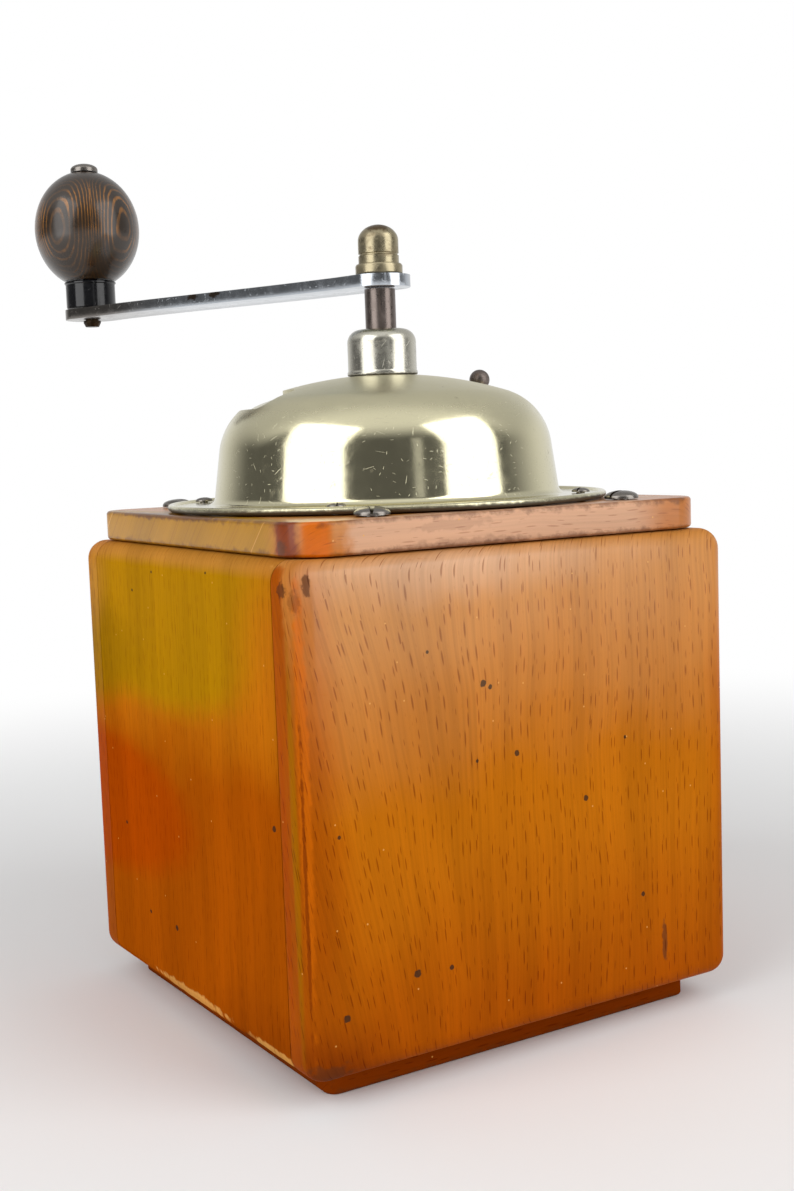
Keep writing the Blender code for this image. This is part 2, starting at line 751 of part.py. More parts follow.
def build_bearing(nickel, bronze):
    """The bush that carries the door and guides the shaft, and the bell-shaped cap pressed over it."""
    flange, neck = bush_flange_radius, bush_neck_radius
    profile = [(shaft_bore, bush_top), (shaft_bore, bush_bottom), (bush_spigot_radius, bush_bottom),
               (bush_spigot_radius, bush_flange_bottom), (flange, bush_flange_bottom),
               (flange, bush_flange_top), (neck, bush_flange_top), (neck, bush_top)]
    solid("bearing_bush", turned(profile, 20), bronze)

    radius, top, bottom = bearing_cap_radius, bearing_cap_top, bearing_cap_bottom
    lip, lip_top = radius + bearing_cap_lip, bottom + bearing_cap_lip_height
    profile = [(bush_bore, bottom), (lip, bottom), (lip, lip_top), (radius, lip_top)]
    profile += arc((radius - bearing_cap_round, top - bearing_cap_round), bearing_cap_round, 0, pi / 2, 4)
    profile += [(shaft_bore, top), (shaft_bore, bush_top + gap), (bush_bore, bush_top + gap)]
    solid("bearing_cap", turned(profile, 26), nickel)


def build_shaft(bright, pivot):
    """The shaft, with a square for the arm and a stud for the nut above its shoulder."""
    tip = stud_top - shaft_chamfer
    profile = [(0, shaft_bottom), (shaft_radius - shaft_chamfer, shaft_bottom),
               (shaft_radius, shaft_bottom + shaft_chamfer), (shaft_radius, shaft_shoulder),
               (shaft_stud_radius, shaft_shoulder), (shaft_stud_radius, tip),
               (shaft_stud_radius - shaft_chamfer, stud_top), (0, stud_top)]
    shaft = solid("shaft", turned(profile, 18), bright, pivot)
    half = shaft_square_side / 2
    turn = Matrix.Rotation(arm_angle, 4, "Z")
    key = solid("shaft_square", block((-half, -half, shaft_shoulder - gap), (half, half, arm_top - gap)), frame=turn)
    combine(shaft, key, "UNION")
    drill(shaft, [pin_frame()], rod(burr_pin_radius + gap, -rim_radius, rim_radius), 10)


def build_crank(bright, black, dark_wood, pivot):
    """The arm, its cap nut, and the turned knob that spins on its own spindle."""
    turn = Matrix.Rotation(arm_angle, 4, "Z")
    arm = solid("crank_arm", arm_shape(), bright, pivot, turn)
    edge = arm.modifiers.new("edge", "BEVEL")
    edge.width = arm_edge_round
    edge.segments = 1
    edge.limit_method = "ANGLE"
    edge.angle_limit = arm_edge_turn
    socket = shaft_square_side / 2 + gap
    hole = block((-socket, -socket, arm_bottom - tool_overrun), (socket, socket, arm_top + tool_overrun))
    combine(arm, solid("arm_square_hole", hole, frame=turn), "DIFFERENCE")
    drill(arm, [frame_at(*knob_place, 0)],
          rod(spindle_bore, arm_tip_bottom - tool_overrun, arm_tip_top + tool_overrun), steps=14)

    radius, collar = cap_nut_radius, cap_nut_collar_radius
    bottom, top = cap_nut_bottom, cap_nut_bottom + cap_nut_height
    bore, bore_top = shaft_stud_radius + gap, stud_top + gap
    shoulder, groove = bottom + cap_nut_collar_height, bottom + cap_nut_groove_height
    crown = radius * cap_nut_crown_share
    profile = [(bore, bottom), (collar, bottom), (collar, shoulder - cap_nut_groove_width), (radius, shoulder),
               (radius, groove), (radius - cap_nut_groove_depth, groove + cap_nut_groove_width / 2),
               (radius, groove + cap_nut_groove_width)]
    profile += [(radius * x, top - crown + crown * y) for x, y in arc((0, 0), 1, 0, pi / 2, 4)]
    profile += [(0, bore_top), (bore, bore_top)]
    solid("cap_nut", turned(profile, 20), bright, pivot)

    axis = empty("knob_axis", (*knob_place, 0), pivot)
    rivet_top = arm_tip_bottom - gap
    rivet_bottom = rivet_top - spindle_head_height
    socket_top = knob_cap_bottom + knob_cap_socket_depth
    profile = [(0, rivet_bottom), (spindle_radius, rivet_bottom), (spindle_head_radius, rivet_top - spindle_chamfer),
               (spindle_head_radius, rivet_top), (spindle_radius, rivet_top),
               (spindle_radius, socket_top - gap), (0, socket_top - gap)]
    solid("knob_spindle", turned(profile, 12), bright, axis)
    cap_top = knob_cap_bottom + knob_cap_height
    crown = knob_cap_height * knob_cap_crown_share
    profile = [(spindle_bore, knob_cap_bottom), (knob_cap_radius, knob_cap_bottom)]
    profile += [(knob_cap_radius * x, cap_top - crown + crown * y) for x, y in arc((0, 0), 1, 0, pi / 2, 4)]
    profile += [(0, socket_top), (spindle_bore, socket_top)]
    solid("knob_cap", turned(profile, 14), bright, axis)

    low, high = ferrule_bottom, ferrule_bottom + ferrule_height
    lip = ferrule_radius + ferrule_lip
    profile = [(spindle_bore, low), (ferrule_radius, low), (ferrule_radius, high - 3 * ferrule_lip),
               (lip, high - 2 * ferrule_lip), (lip, high - ferrule_lip), (ferrule_radius, high), (spindle_bore, high)]
    solid("knob_ferrule", turned(profile, 20), black, axis)
    solid("crank_knob", turned(knob_outline(), 28), dark_wood, axis)


def knob_outline():
    """An egg on a small seat: widest below its middle, drawn in towards the top."""
    waist = crank_knob_height * crank_knob_waist_share
    low_turn = acos(crank_knob_seat_share)
    high_turn = acos(knob_cap_radius / crank_knob_radius)
    below = [(x, crank_knob_bottom + waist * (1 + y / sin(low_turn))) for x, y in arc((0, 0), 1, -low_turn, 0, 4)]
    above = [(x, crank_knob_bottom + waist + (crank_knob_height - waist) * y / sin(high_turn))
             for x, y in arc((0, 0), 1, 0, high_turn, 7)]
    egg = [(crank_knob_radius * x, height) for x, height in below + above[1:]]
    return [(spindle_bore, crank_knob_bottom)] + egg + [(spindle_bore, crank_knob_top)]


def arm_shape():
    """The arm: a flat bar with round ends, a little higher at the knob's end."""
    half = arm_shank_width / 2
    near = [(x, width) for x, width in arc((0, 0), arm_end_radius, pi, pi / 2, 6)[1:]]
    far = [(arm_length - x, width) for x, width in near[::-1]]
    run = arm_length - 2 * arm_end_radius
    straight = [(arm_end_radius + run * step / arm_steps, half) for step in range(arm_steps + 1)]
    stations = near + straight + far

    def levels(x):
        climb = min(max((x - arm_end_radius) / run, 0), 1)
        top = arm_top + arm_rise * climb * climb * (3 - 2 * climb)
        return top - arm_thickness, top

    shape = bmesh.new()
    rows = []
    for x, width in stations:
        low, high = levels(x)
        corners = ((x, -width, low), (x, width, low), (x, width, high), (x, -width, high))
        rows.append([shape.verts.new(corner) for corner in corners])
    for here, there in zip(rows, rows[1:]):
        for one, two in ((0, 1), (1, 2), (2, 3), (3, 0)):
            shape.faces.new((here[one], here[two], there[two], there[one]))
    for row, x in ((rows[0], -arm_end_radius), (rows[-1], arm_length + arm_end_radius)):
        bottom, top = [shape.verts.new((x, 0, level)) for level in levels(x)]
        shape.faces.new((row[0], row[1], bottom))
        shape.faces.new((row[3], row[2], top))
        shape.faces.new((row[0], row[3], top, bottom))
        shape.faces.new((row[1], row[2], top, bottom))
    return shape


def pin_frame():
    """The level axis of the pin through the cone's neck."""
    return frame_at(0, 0, (cone_top + cone_neck_top) / 2, lean=pi / 2)


def build_housing(iron):
    """The housing: a flanged bowl that narrows to a ring with saw teeth inside, and two lugs."""
    inner_bowl = bowl_radius - housing_wall
    steps = 4
    teeth = [(ring_bottom_radius + (ring_top_radius - ring_bottom_radius) * step / steps,
              ring_bottom + ring_height * step / steps) for step in range(steps + 1)]
    outline = [(ring_outer_radius, ring_bottom), (ring_outer_radius, ring_top), (bowl_radius, bowl_bottom),
               (bowl_radius, housing_seat), (housing_flange_radius, housing_seat),
               (housing_flange_radius, housing_top), (inner_bowl, housing_top),
               (inner_bowl, bowl_bottom), (ring_outer_radius - housing_wall, ring_top + housing_wall)]
    shape = turned(outline + teeth[::-1], 2 * ring_tooth_count)
    edge = (ring_bottom_radius + ring_outer_radius) / 2
    cut_teeth(shape, ring_tooth_count, ring_tooth_depth, ring_tooth_lean, ring_bottom, ring_top, 0, edge)
    housing = solid("burr_housing", shape, iron)
    frames = [frame_at(x * housing_lug_reach, 0, 0) for x in (-1, 1)]
    lug = rod(housing_lug_radius, ring_bottom, ring_bottom + housing_lug_height)
    combine(housing, solid("housing_lugs", turned_at(lug, frames, 12)), "UNION")
    drill(housing, frames, rod(bridge_screw_radius + gap, ring_bottom - tool_overrun,
                               bridge_bottom + bridge_screw_length + gap), 8)
    drill(housing, on_circle(housing_screw_reach, housing_screw_angles),
          rod(housing_screw_radius + gap, housing_seat - tool_overrun, housing_top + tool_overrun), 8)


def build_cone(iron, steel, pivot):
    """The toothed cone on the shaft, the pin that turns it and the washer above."""
    low = cone_bottom + cone_foot_height
    rise = cone_top - low
    flank = []
    for share, radius in ((0, cone_bottom_radius), (1, cone_middle_radius)):
        upper = cone_top_radius if share else cone_middle_radius
        flank += [(radius, low + rise * share / 2), ((radius + upper) / 2, low + rise * (share + 0.5) / 2)]
    flank.append((cone_top_radius, cone_top))
    outline = [(shaft_bore, cone_bottom), (cone_bottom_radius - cone_foot_height, cone_bottom)] + flank
    outline += [(cone_neck_radius, cone_top + cone_foot_height), (cone_neck_radius, cone_neck_top),
                (shaft_bore, cone_neck_top)]
    shape = turned(outline, 2 * cone_tooth_count)
    cut_teeth(shape, cone_tooth_count, cone_tooth_depth, cone_tooth_lean, low, cone_top,
              (shaft_bore + cone_neck_radius) / 2, rim_radius)
    cone = solid("burr_cone", shape, iron, pivot)
    drill(cone, [pin_frame()], rod(burr_pin_radius + gap, -rim_radius, rim_radius), 10)
    solid("burr_pin", turned(rod(burr_pin_radius, gap - cone_neck_radius, cone_neck_radius - gap), 10), steel,
          pivot, pin_frame())
    low, high = washer_bottom, washer_bottom + washer_thickness
    washer = [(shaft_bore, low), (washer_radius, low), (washer_radius, high), (shaft_bore, high)]
    solid("spring_washer", turned(washer, 20), steel, pivot)


def build_bridge(iron, steel):
    """The bridge under the ring, screwed to the lugs, and the ball that takes the shaft's thrust."""
    half = bridge_width / 2
    reach = housing_lug_reach + half
    bridge = solid("bridge", block((-reach, -half, bridge_bottom), (reach, half, bridge_top),
                                   edge_round=board_edge_round, steps=1), iron)
    frames = [frame_at(x * housing_lug_reach, 0, 0) for x in (-1, 1)]
    post = rod(housing_lug_radius, (bridge_bottom + bridge_top) / 2, ring_bottom - gap)
    combine(bridge, solid("bridge_posts", turned_at(post, frames, 12)), "UNION")
    low, high = bridge_bottom - tool_overrun, ring_bottom + tool_overrun
    drill(bridge, frames, rod(bridge_screw_radius + gap, low, high), 8)
    drill(bridge, [Matrix()], rod(adjuster_stem_radius + gap, low, high), 16)

    ball = bmesh.new()
    bmesh.ops.create_uvsphere(ball, u_segments=12, v_segments=7, radius=ball_radius,
                              matrix=Matrix.Translation((0, 0, ball_centre)))
    solid("thrust_ball", ball, steel)


def build_adjuster(brass):
    """The adjusting screw under the bridge, with a notched wheel to turn by hand."""
    axis = empty("adjuster_axis", (0, 0, adjuster_wheel_top))
    low, high = -adjuster_wheel_thickness, adjuster_stem_length
    rim = adjuster_wheel_radius - adjuster_notch_depth
    outline = [(0, low), (rim, low), (adjuster_wheel_radius, low + adjuster_notch_depth),
               (adjuster_wheel_radius, -adjuster_notch_depth), (rim, 0), (adjuster_stem_radius, 0),
               (adjuster_stem_radius, high), (0, high)]
    shape = turned(outline, 2 * adjuster_notch_count)
    cut_teeth(shape, adjuster_notch_count, adjuster_notch_depth, 0, low, 0,
              adjuster_wheel_radius - adjuster_notch_depth / 2, rim_radius)
    solid("adjusting_screw", shape, brass, axis)


def build_detent(steel):
    """A leaf spring screwed under the bridge, whose nose rests in the wheel's notches."""
    nose = adjuster_wheel_radius + adjuster_notch_depth / 2 + gap
    front, back = nose + detent_nose, nose + detent_nose + detent_thickness
    top, under = bridge_bottom - gap, bridge_bottom - gap - detent_thickness
    end = back + detent_foot_length
    middle = (adjuster_wheel_top + adjuster_wheel_bottom) / 2
    outline = [(end, top), (front, top), (front, middle + detent_width / 2), (nose, middle),
               (front, adjuster_wheel_bottom), (back, adjuster_wheel_bottom), (nose + detent_thickness, middle),
               (back, middle + detent_width / 2), (back, under), (end, under)]
    level = Matrix.Rotation(pi / 2, 4, "X")
    leaf = solid("detent_spring", prism(outline, -detent_width / 2, detent_width / 2), steel, frame=level)
    place = back + detent_foot_length * detent_screw_foot_share
    drill(leaf, [frame_at(place, 0, 0)],
          rod(detent_screw_radius + gap, under - tool_overrun, top + tool_overrun), 10)
    drill(bpy.data.objects["bridge"], [frame_at(place, 0, 0)],
          rod(detent_screw_radius + gap, bridge_bottom - tool_overrun, under + detent_screw_length + gap), 8)
    mesh = screw_mesh("detent_screw", detent_screw_radius, detent_screw_length, steel, 10)
    placed(mesh, "detent_screw", frame_at(place, 0, under - gap, lean=pi))


def build_spring(steel):
    """The spring between the washer and the bush: one unbroken coil with closed end curls."""
    low, high = spring_bottom + spring_wire_radius, spring_top - spring_wire_radius
    points = []
    for number in range(spring_curls * spring_points_per_curl + 1):
        curl = number / spring_points_per_curl
        closed = min(curl, spring_end_share) + max(curl - spring_curls + spring_end_share, 0)
        share = (curl - closed / 2) / (spring_curls - spring_end_share)
        points.append(Vector((spring_mean_radius * cos(2 * pi * curl), spring_mean_radius * sin(2 * pi * curl),
                              low + (high - low) * share)))
    least = min((one - two).length for index, one in enumerate(points)
                for two in points[index + spring_points_per_curl // 2:])
    print("shaft_spring, least gap to itself in metres:", round(least - 2 * spring_wire_radius, 5))
    curve = bpy.data.curves.new("shaft_spring", "CURVE")
    curve.dimensions = "3D"
    curve.bevel_depth = spring_wire_radius
    curve.bevel_resolution = 1
    curve.use_fill_caps = True
    line = curve.splines.new("POLY")
    line.points.add(len(points) - 1)
    for target, point in zip(line.points, points):
        target.co = (*point, 1)
    curve.materials.append(steel)
    placed(curve, "shaft_spring", Matrix())


def main():
    clear_scene()
    beech = material("varnished_beech", (0.45, 0.17, 0.03), 0.35)
    dark_wood = material("dark_knob_wood", (0.05, 0.02, 0.01), 0.25)
    nickel = material("spun_nickel", (0.66, 0.62, 0.50), 0.25, 1.0)
    bright = material("crank_steel", (0.45, 0.46, 0.47), 0.3, 1.0)
    steel = material("screw_steel", (0.30, 0.29, 0.27), 0.4, 1.0)
    iron = material("cast_iron", (0.10, 0.10, 0.10), 0.6, 0.8)
    brass = material("adjuster_brass", (0.60, 0.45, 0.18), 0.35, 1.0)
    black = material("ferrule_black", (0.01, 0.01, 0.012), 0.15)

    shaft_axis = empty("shaft_axis", (0, 0, 0))
    build_walls(beech)
    build_boards(beech)
    build_screws(steel)
    build_drawer(beech, steel)
    build_dome(nickel)
    build_door(nickel)
    build_bearing(nickel, brass)
    build_shaft(bright, shaft_axis)
    build_crank(bright, black, dark_wood, shaft_axis)
    build_housing(iron)
    build_cone(iron, steel, shaft_axis)
    build_bridge(iron, steel)
    build_adjuster(brass)
    build_detent(steel)
    build_spring(steel)


main()
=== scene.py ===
"""The looks of a hand-cranked coffee mill, laid out as an add-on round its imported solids.

Each operator dresses one piece, or a group of like pieces. Lengths are in metres, +Z is up
along the crank's shaft, and the drawer opens towards -Y.
"""
import json
from math import acos, asin, atan2, cos, hypot, pi, radians, sin

import bmesh
import bpy
from bpy.props import FloatProperty, FloatVectorProperty, PointerProperty
from mathutils import Matrix, Vector


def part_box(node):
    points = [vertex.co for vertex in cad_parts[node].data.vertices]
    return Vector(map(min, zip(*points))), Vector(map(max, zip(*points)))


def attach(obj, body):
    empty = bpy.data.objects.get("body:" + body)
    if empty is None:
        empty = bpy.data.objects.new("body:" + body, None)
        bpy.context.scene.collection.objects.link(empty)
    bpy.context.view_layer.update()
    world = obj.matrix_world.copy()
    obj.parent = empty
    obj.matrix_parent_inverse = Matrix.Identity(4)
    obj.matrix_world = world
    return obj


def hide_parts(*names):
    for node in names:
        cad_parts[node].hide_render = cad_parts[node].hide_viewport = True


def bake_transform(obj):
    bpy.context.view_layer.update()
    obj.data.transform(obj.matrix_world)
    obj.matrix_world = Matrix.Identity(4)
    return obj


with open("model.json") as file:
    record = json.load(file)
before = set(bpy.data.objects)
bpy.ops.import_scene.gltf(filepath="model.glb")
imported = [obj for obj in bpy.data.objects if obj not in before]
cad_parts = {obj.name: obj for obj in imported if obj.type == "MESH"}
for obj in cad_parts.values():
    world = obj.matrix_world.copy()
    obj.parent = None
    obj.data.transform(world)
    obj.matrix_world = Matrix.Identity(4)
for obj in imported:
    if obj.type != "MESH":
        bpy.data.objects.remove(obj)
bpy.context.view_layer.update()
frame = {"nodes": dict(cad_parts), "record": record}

bl_info = {
    "name": "Coffee Mill Looks",
    "version": (1, 0, 0),
    "blender": (4, 5, 0),
    "location": "3D View > Sidebar > Mill",
    "description": "Dresses the solids of a hand-cranked coffee mill and sets up its studio",
    "category": "Object",
}

# Fineness of the turned and rounded shapes
turn_steps = 160
small_turn_steps = 64
ferrule_turn_steps = 96
round_steps = 10
weld_distance = 0.000001
overrun = 0.004
seam = 0.0003
smooth_limit = radians(34)

# Marks in the finishes: the cell that holds one mark, across and along it
fleck_cell = (0.0024, 0.0048)
fine_fleck_cell = (0.0015, 0.0024)
speck_cell = 0.008
wood_scratch_cell = 0.012
metal_scratch_cell = 0.0045
metal_speck_cell = 0.0035
knob_ring_spacing = 0.0012
grain_middle = 0.06

# Which body each node has in the imported record
BODY_OF = {node: body for body, nodes in frame["record"]["behaviour"]["bodies"].items() for node in nodes}


def length(name, text, default):
    """A length that a user can change."""
    return FloatProperty(name=name, description=text, default=default, unit="LENGTH", precision=5)


def angle(name, text, default):
    """An angle that a user can change."""
    return FloatProperty(name=name, description=text, default=default, unit="ROTATION", precision=3)


def share(name, text, default):
    """A share or strength that a user can change."""
    return FloatProperty(name=name, description=text, default=default, min=0, precision=3)


def colour(name, text, default):
    """A colour that a user can change."""
    return FloatVectorProperty(name=name, description=text, default=default, subtype="COLOR", size=3,
                               min=0, max=1)


class MillSizes(bpy.types.PropertyGroup):
    """Sizes that the solids' boxes don't give."""
    box_edge: length("Box edge", "Rounding of the box's outer edges", 0.005)
    top_corner: length("Top corner", "Rounding of the top board's corners", 0.0095)
    top_edge: length("Top edge", "Rounding of the top board's edges", 0.0009)
    top_bore: length("Top bore", "Radius of the hole in the top board", 0.0315)
    plinth_corner: length("Plinth corner", "Rounding of the plinth's corners", 0.003)
    small_edge: length("Small edge", "Rounding of the plinth's and the drawer's edges", 0.0006)
    crown: length("Crown", "Radius of the dome's shallow crown", 0.100)
    crown_pad: length("Crown pad", "Radius of the flat spot under the bearing cap", 0.0095)
    shoulder: length("Shoulder", "Radius of the dome's shoulder", 0.016)
    dome: length("Dome", "Radius where the dome's side begins", 0.0421)
    draft: angle("Draft", "Lean of the dome's side", radians(8))
    brim_slope: angle("Brim slope", "Slope of the dome's brim", radians(1))
    brim_sink: length("Brim sink", "How far the brim lies below the top of the rim", 0.0006)
    foot: length("Foot", "Rounding where the side meets the brim", 0.002)
    bead: length("Bead", "Radius of the rolled rim", 0.00085)
    sheet: length("Sheet", "Thickness of the dome's metal", 0.0009)
    door_sheet: length("Door sheet", "Thickness of the door's metal", 0.0008)
    door_gap: length("Door gap", "Room between the dome and its door", 0.0005)
    bush_bore: length("Bush bore", "Radius of the hole for the bush", 0.0068)
    slot_inner: length("Slot inner", "Inner radius of the opening in the dome", 0.0255)
    slot_outer: length("Slot outer", "Outer radius of the opening in the dome", 0.0365)
    slot_corner: length("Slot corner", "Rounding of the opening's corners", 0.0035)
    slot_start: angle("Slot start", "Where the opening starts", radians(-181))
    slot_end: angle("Slot end", "Where the opening ends", radians(5.5))
    door_lap: angle("Door lap", "How far the door reaches past the opening", radians(4.5))
    cap_round: length("Cap round", "Rounding of the bearing cap's top", 0.0034)
    cap_lip: length("Cap lip", "How far the bearing cap's lip stands out", 0.0002)
    cap_lip_height: length("Cap lip height", "Height of the bearing cap's lip", 0.001)
    shaft_bore: length("Shaft bore", "Radius of the holes for the shaft", 0.00425)
    arm_end: length("Arm end", "Radius of the arm's round ends", 0.0078)
    arm_width: length("Arm width", "Width of the arm's bar", 0.0146)
    arm_thickness: length("Arm thickness", "Thickness of the arm", 0.003)
    arm_edge: length("Arm edge", "Rounding of the arm's edges", 0.00045)
    nut: length("Nut", "Radius of the cap nut's body", 0.0051)
    nut_collar: length("Nut collar", "Height of the cap nut's collar", 0.0027)
    nut_groove: length("Nut groove", "Height of the groove in the cap nut", 0.0046)
    groove_width: length("Groove width", "Width of the cap nut's groove", 0.0006)
    groove_depth: length("Groove depth", "Depth of the cap nut's groove", 0.0003)
    spindle_bore: length("Spindle bore", "Radius of the hole through knob and ferrule", 0.0023)
    spring_wire: length("Spring wire", "Radius of the shaft spring's wire", 0.0007)
    ferrule: length("Ferrule", "Radius of the ferrule", 0.0073)
    door_hub: length("Door hub", "Radius of the door's hub", 0.0115)
    door_knob: length("Door knob", "Radius of the door knob's ball", 0.0027)
    door_knob_height: length("Door knob height", "Height of the door's knob over the door", 0.0076)
    door_knob_neck: length("Door knob neck", "Radius of the door knob's neck", 0.0019)
    door_rivet: length("Door rivet", "Radius of the door knob's rivet", 0.0012)
    door_knob_turn: angle("Door knob turn", "Where the door's knob stands about the shaft", radians(-173.6))


class MillColours(bpy.types.PropertyGroup):
    """Colours of the mill's finishes."""
    amber: colour("Amber", "Varnished beech at its middle tone", (0.44, 0.125, 0.003))
    # Honey is the palest beech tone. It also paints sheen: the pale top of the wide face and the narrow
    # face's rounded top edge.
    honey_and_sheen: colour("Honey", "Varnished beech where it is palest", (0.50, 0.205, 0.045))
    russet: colour("Russet", "Varnished beech where it is deepest", (0.34, 0.068, 0.001))
    # Umber darkens cracks and the boards towards the bottom, and paints shade over the whole plinth.
    umber_and_shade: colour("Umber", "The darkest varnish, low down and on the plinth", (0.20, 0.032, 0.001))
    # Sheen is a painted reflection of bright surroundings on the varnish along the wide face's top edge.
    sheen: colour("Sheen", "Worn, paler varnish near the top edges", (0.60, 0.34, 0.19))
    fleck: colour("Fleck", "How the short dark flecks tint the beech", (0.56, 0.42, 0.34))
    # Mustard, olive and blush are painted coloured reflections of the surroundings on the +X faces:
    # yellow-olive high up, red further down.
    mustard_reflection: colour("Mustard", "Yellowed varnish near the top board", (0.38, 0.175, 0.001))
    olive_reflection: colour("Olive", "Yellowed varnish further down", (0.29, 0.135, 0.0003))
    blush_reflection: colour("Blush", "Reddened varnish on the side boards", (0.36, 0.050, 0.0003))
    # Rose is painted sheen on the top board's long wide edge.
    rose_sheen: colour("Rose", "Worn varnish on the top board's long edges", (0.56, 0.31, 0.18))
    stain: colour("Stain", "Dark stain at worn edges", (0.10, 0.030, 0.010))
    flame: colour("Flame", "Vivid orange varnish round the near corner", (0.54, 0.115, 0.002))
    bare: colour("Bare wood", "Chips where the bare wood shows", (0.66, 0.33, 0.08))
    nickel: colour("Nickel", "Yellowish plating of the dome", (0.68, 0.635, 0.43))
    silver: colour("Silver", "Paler plating of the bearing cap", (0.57, 0.55, 0.47))
    brass: colour("Brass", "Worn plating with brass below", (0.36, 0.31, 0.20))
    # Soot paints shade in crevices: under the dome's rolled rim, round the feet of the bearing cap and cap
    # nut, and inside the screws' slots. It also darkens the dents and the spindle.
    soot_and_shade: colour("Soot", "Black grime in the crevices under metal edges", (0.03, 0.02, 0.012))
    grime: colour("Grime", "Grime and rust on metal", (0.10, 0.055, 0.02))
    bright: colour("Bright steel", "The crank arm's plating", (0.50, 0.53, 0.57))
    rusty: colour("Rusty steel", "The shaft's brownish steel", (0.17, 0.14, 0.125))
    dull: colour("Dull steel", "Screws, springs and the other small steel pieces", (0.23, 0.21, 0.19))
    iron: colour("Iron", "Castings inside the mill", (0.10, 0.10, 0.10))
    ebony: colour("Ebony", "The knob's dark stain", (0.022, 0.012, 0.005))
    ring: colour("Ring", "Growth rings that show through the knob's stain", (0.30, 0.115, 0.012))
    enamel: colour("Enamel", "The ferrule's black enamel", (0.004, 0.004, 0.005))


class MillStudio(bpy.types.PropertyGroup):
    """The studio's light."""
    window: share("Window", "Radiance of the two large soft lamps", 2.4)
    sky: share("Sky", "Strength of the light from all round", 0.52)
    dim: share("Dim", "What shiny metal reflects from the camera's side of the room", 0.12)
    overhead: share("Overhead", "What shiny metal reflects from above and behind", 0.68)


class Weaver:
    """Places shader nodes in one tree and links what they are given."""

    def __init__(self, tree):
        self.tree = tree

    def feed(self, socket, value):
        if isinstance(value, bpy.types.NodeSocket):
            self.tree.links.new(value, socket)
        elif hasattr(socket.default_value, "__len__") and len(socket.default_value) == 4:
            socket.default_value = (*tuple(value)[:3], 1)
        else:
            socket.default_value = value

    def add(self, kind, inputs=(), **settings):
        node = self.tree.nodes.new("ShaderNode" + kind)
        for name, value in settings.items():
            setattr(node, name, value)
        for key, value in dict(inputs).items():
            self.feed(node.inputs[key], value)
        return node

    def math(self, operation, *values, clamp=False):
        return self.add("Math", enumerate(values), operation=operation, use_clamp=clamp).outputs[0]

    def times(self, *values):
        return self.math("MULTIPLY", *values)

    def less(self, *values):
        return self.math("SUBTRACT", *values)

    def plus(self, *values):
        return self.math("ADD", *values)

    def vector(self, operation, *values):
        node = self.add("VectorMath", operation=operation)
        for socket, value in zip(node.inputs, values):
            self.feed(socket, value)
        return node.outputs["Value" if operation in ("LENGTH", "DOT_PRODUCT") else "Vector"]

    def stretch(self, position, factors):
        return self.vector("MULTIPLY", position, factors)

    def split(self, position):
        return self.add("SeparateXYZ", {0: position}).outputs

    def join(self, x, y, z):
        return self.add("CombineXYZ", {0: x, 1: y, 2: z}).outputs[0]

    def step(self, value, low, high, to_low=0.0, to_high=1.0):
        node = self.add("MapRange", {0: value, 1: low, 2: high, 3: to_low, 4: to_high})
        node.interpolation_type = "SMOOTHSTEP"
        return node.outputs[0]

    def mix(self, factor, one, other, blend="MIX"):
        node = self.add("Mix", data_type="RGBA", blend_type=blend)
        for key, value in ((0, factor), (6, one), (7, other)):
            self.feed(node.inputs[key], value)
        return node.outputs[2]

    def noise(self, position, scale=1.0, detail=2.0, roughness=0.5, distortion=0.0):
        return self.add("TexNoise", {"Vector": position, "Scale": scale, "Detail": detail,
                                     "Roughness": roughness, "Distortion": distortion}).outputs[0]

    def cells(self, position):
        inputs = {"Vector": position, "Scale": 1.0}
        return self.add("TexVoronoi", inputs, voronoi_dimensions="2D").outputs

    def dashes(self, place, size, reach, spin=0.0):
        """One dash in each cell of a flat pattern: how far off its middle a point is, and a random value."""
        spots = self.vector("DIVIDE", place, (*size, 1))
        cells = self.cells(spots)
        pick = self.split(cells["Color"])
        offset = self.split(self.vector("SUBTRACT", spots, cells["Position"]))
        turn = self.times(pick[0], spin)
        ahead, aside = self.math("COSINE", turn), self.math("SINE", turn)
        across = self.less(self.times(offset[0], ahead), self.times(offset[1], aside))
        along = self.plus(self.times(offset[0], aside), self.times(offset[1], ahead))
        away = self.vector("LENGTH", self.join(self.math("DIVIDE", across, reach[0]),
                                               self.math("DIVIDE", along, reach[1]), 0))
        return away, pick[1]

    def place(self):
        return self.add("TexCoord").outputs["Object"]

    def group(self, name, inputs):
        node = self.add("Group", node_tree=bpy.data.node_groups[name])
        for key, value in inputs.items():
            self.feed(node.inputs[key], value)
        return node.outputs


def effect(name, inputs, outputs, fill):
    """A shader node group with named inputs and outputs, filled once."""
    tree = bpy.data.node_groups.new(name, "ShaderNodeTree")
    for label, kind, default in inputs:
        socket = tree.interface.new_socket(label, in_out="INPUT", socket_type="NodeSocket" + kind)
        if default is not None:
            socket.default_value = default
    for label, kind in outputs:
        tree.interface.new_socket(label, in_out="OUTPUT", socket_type="NodeSocket" + kind)
    weave = Weaver(tree)
    entry = tree.nodes.new("NodeGroupInput").outputs
    leave = tree.nodes.new("NodeGroupOutput").inputs
    for label, value in fill(weave, entry).items():
        tree.links.new(value, leave[label])


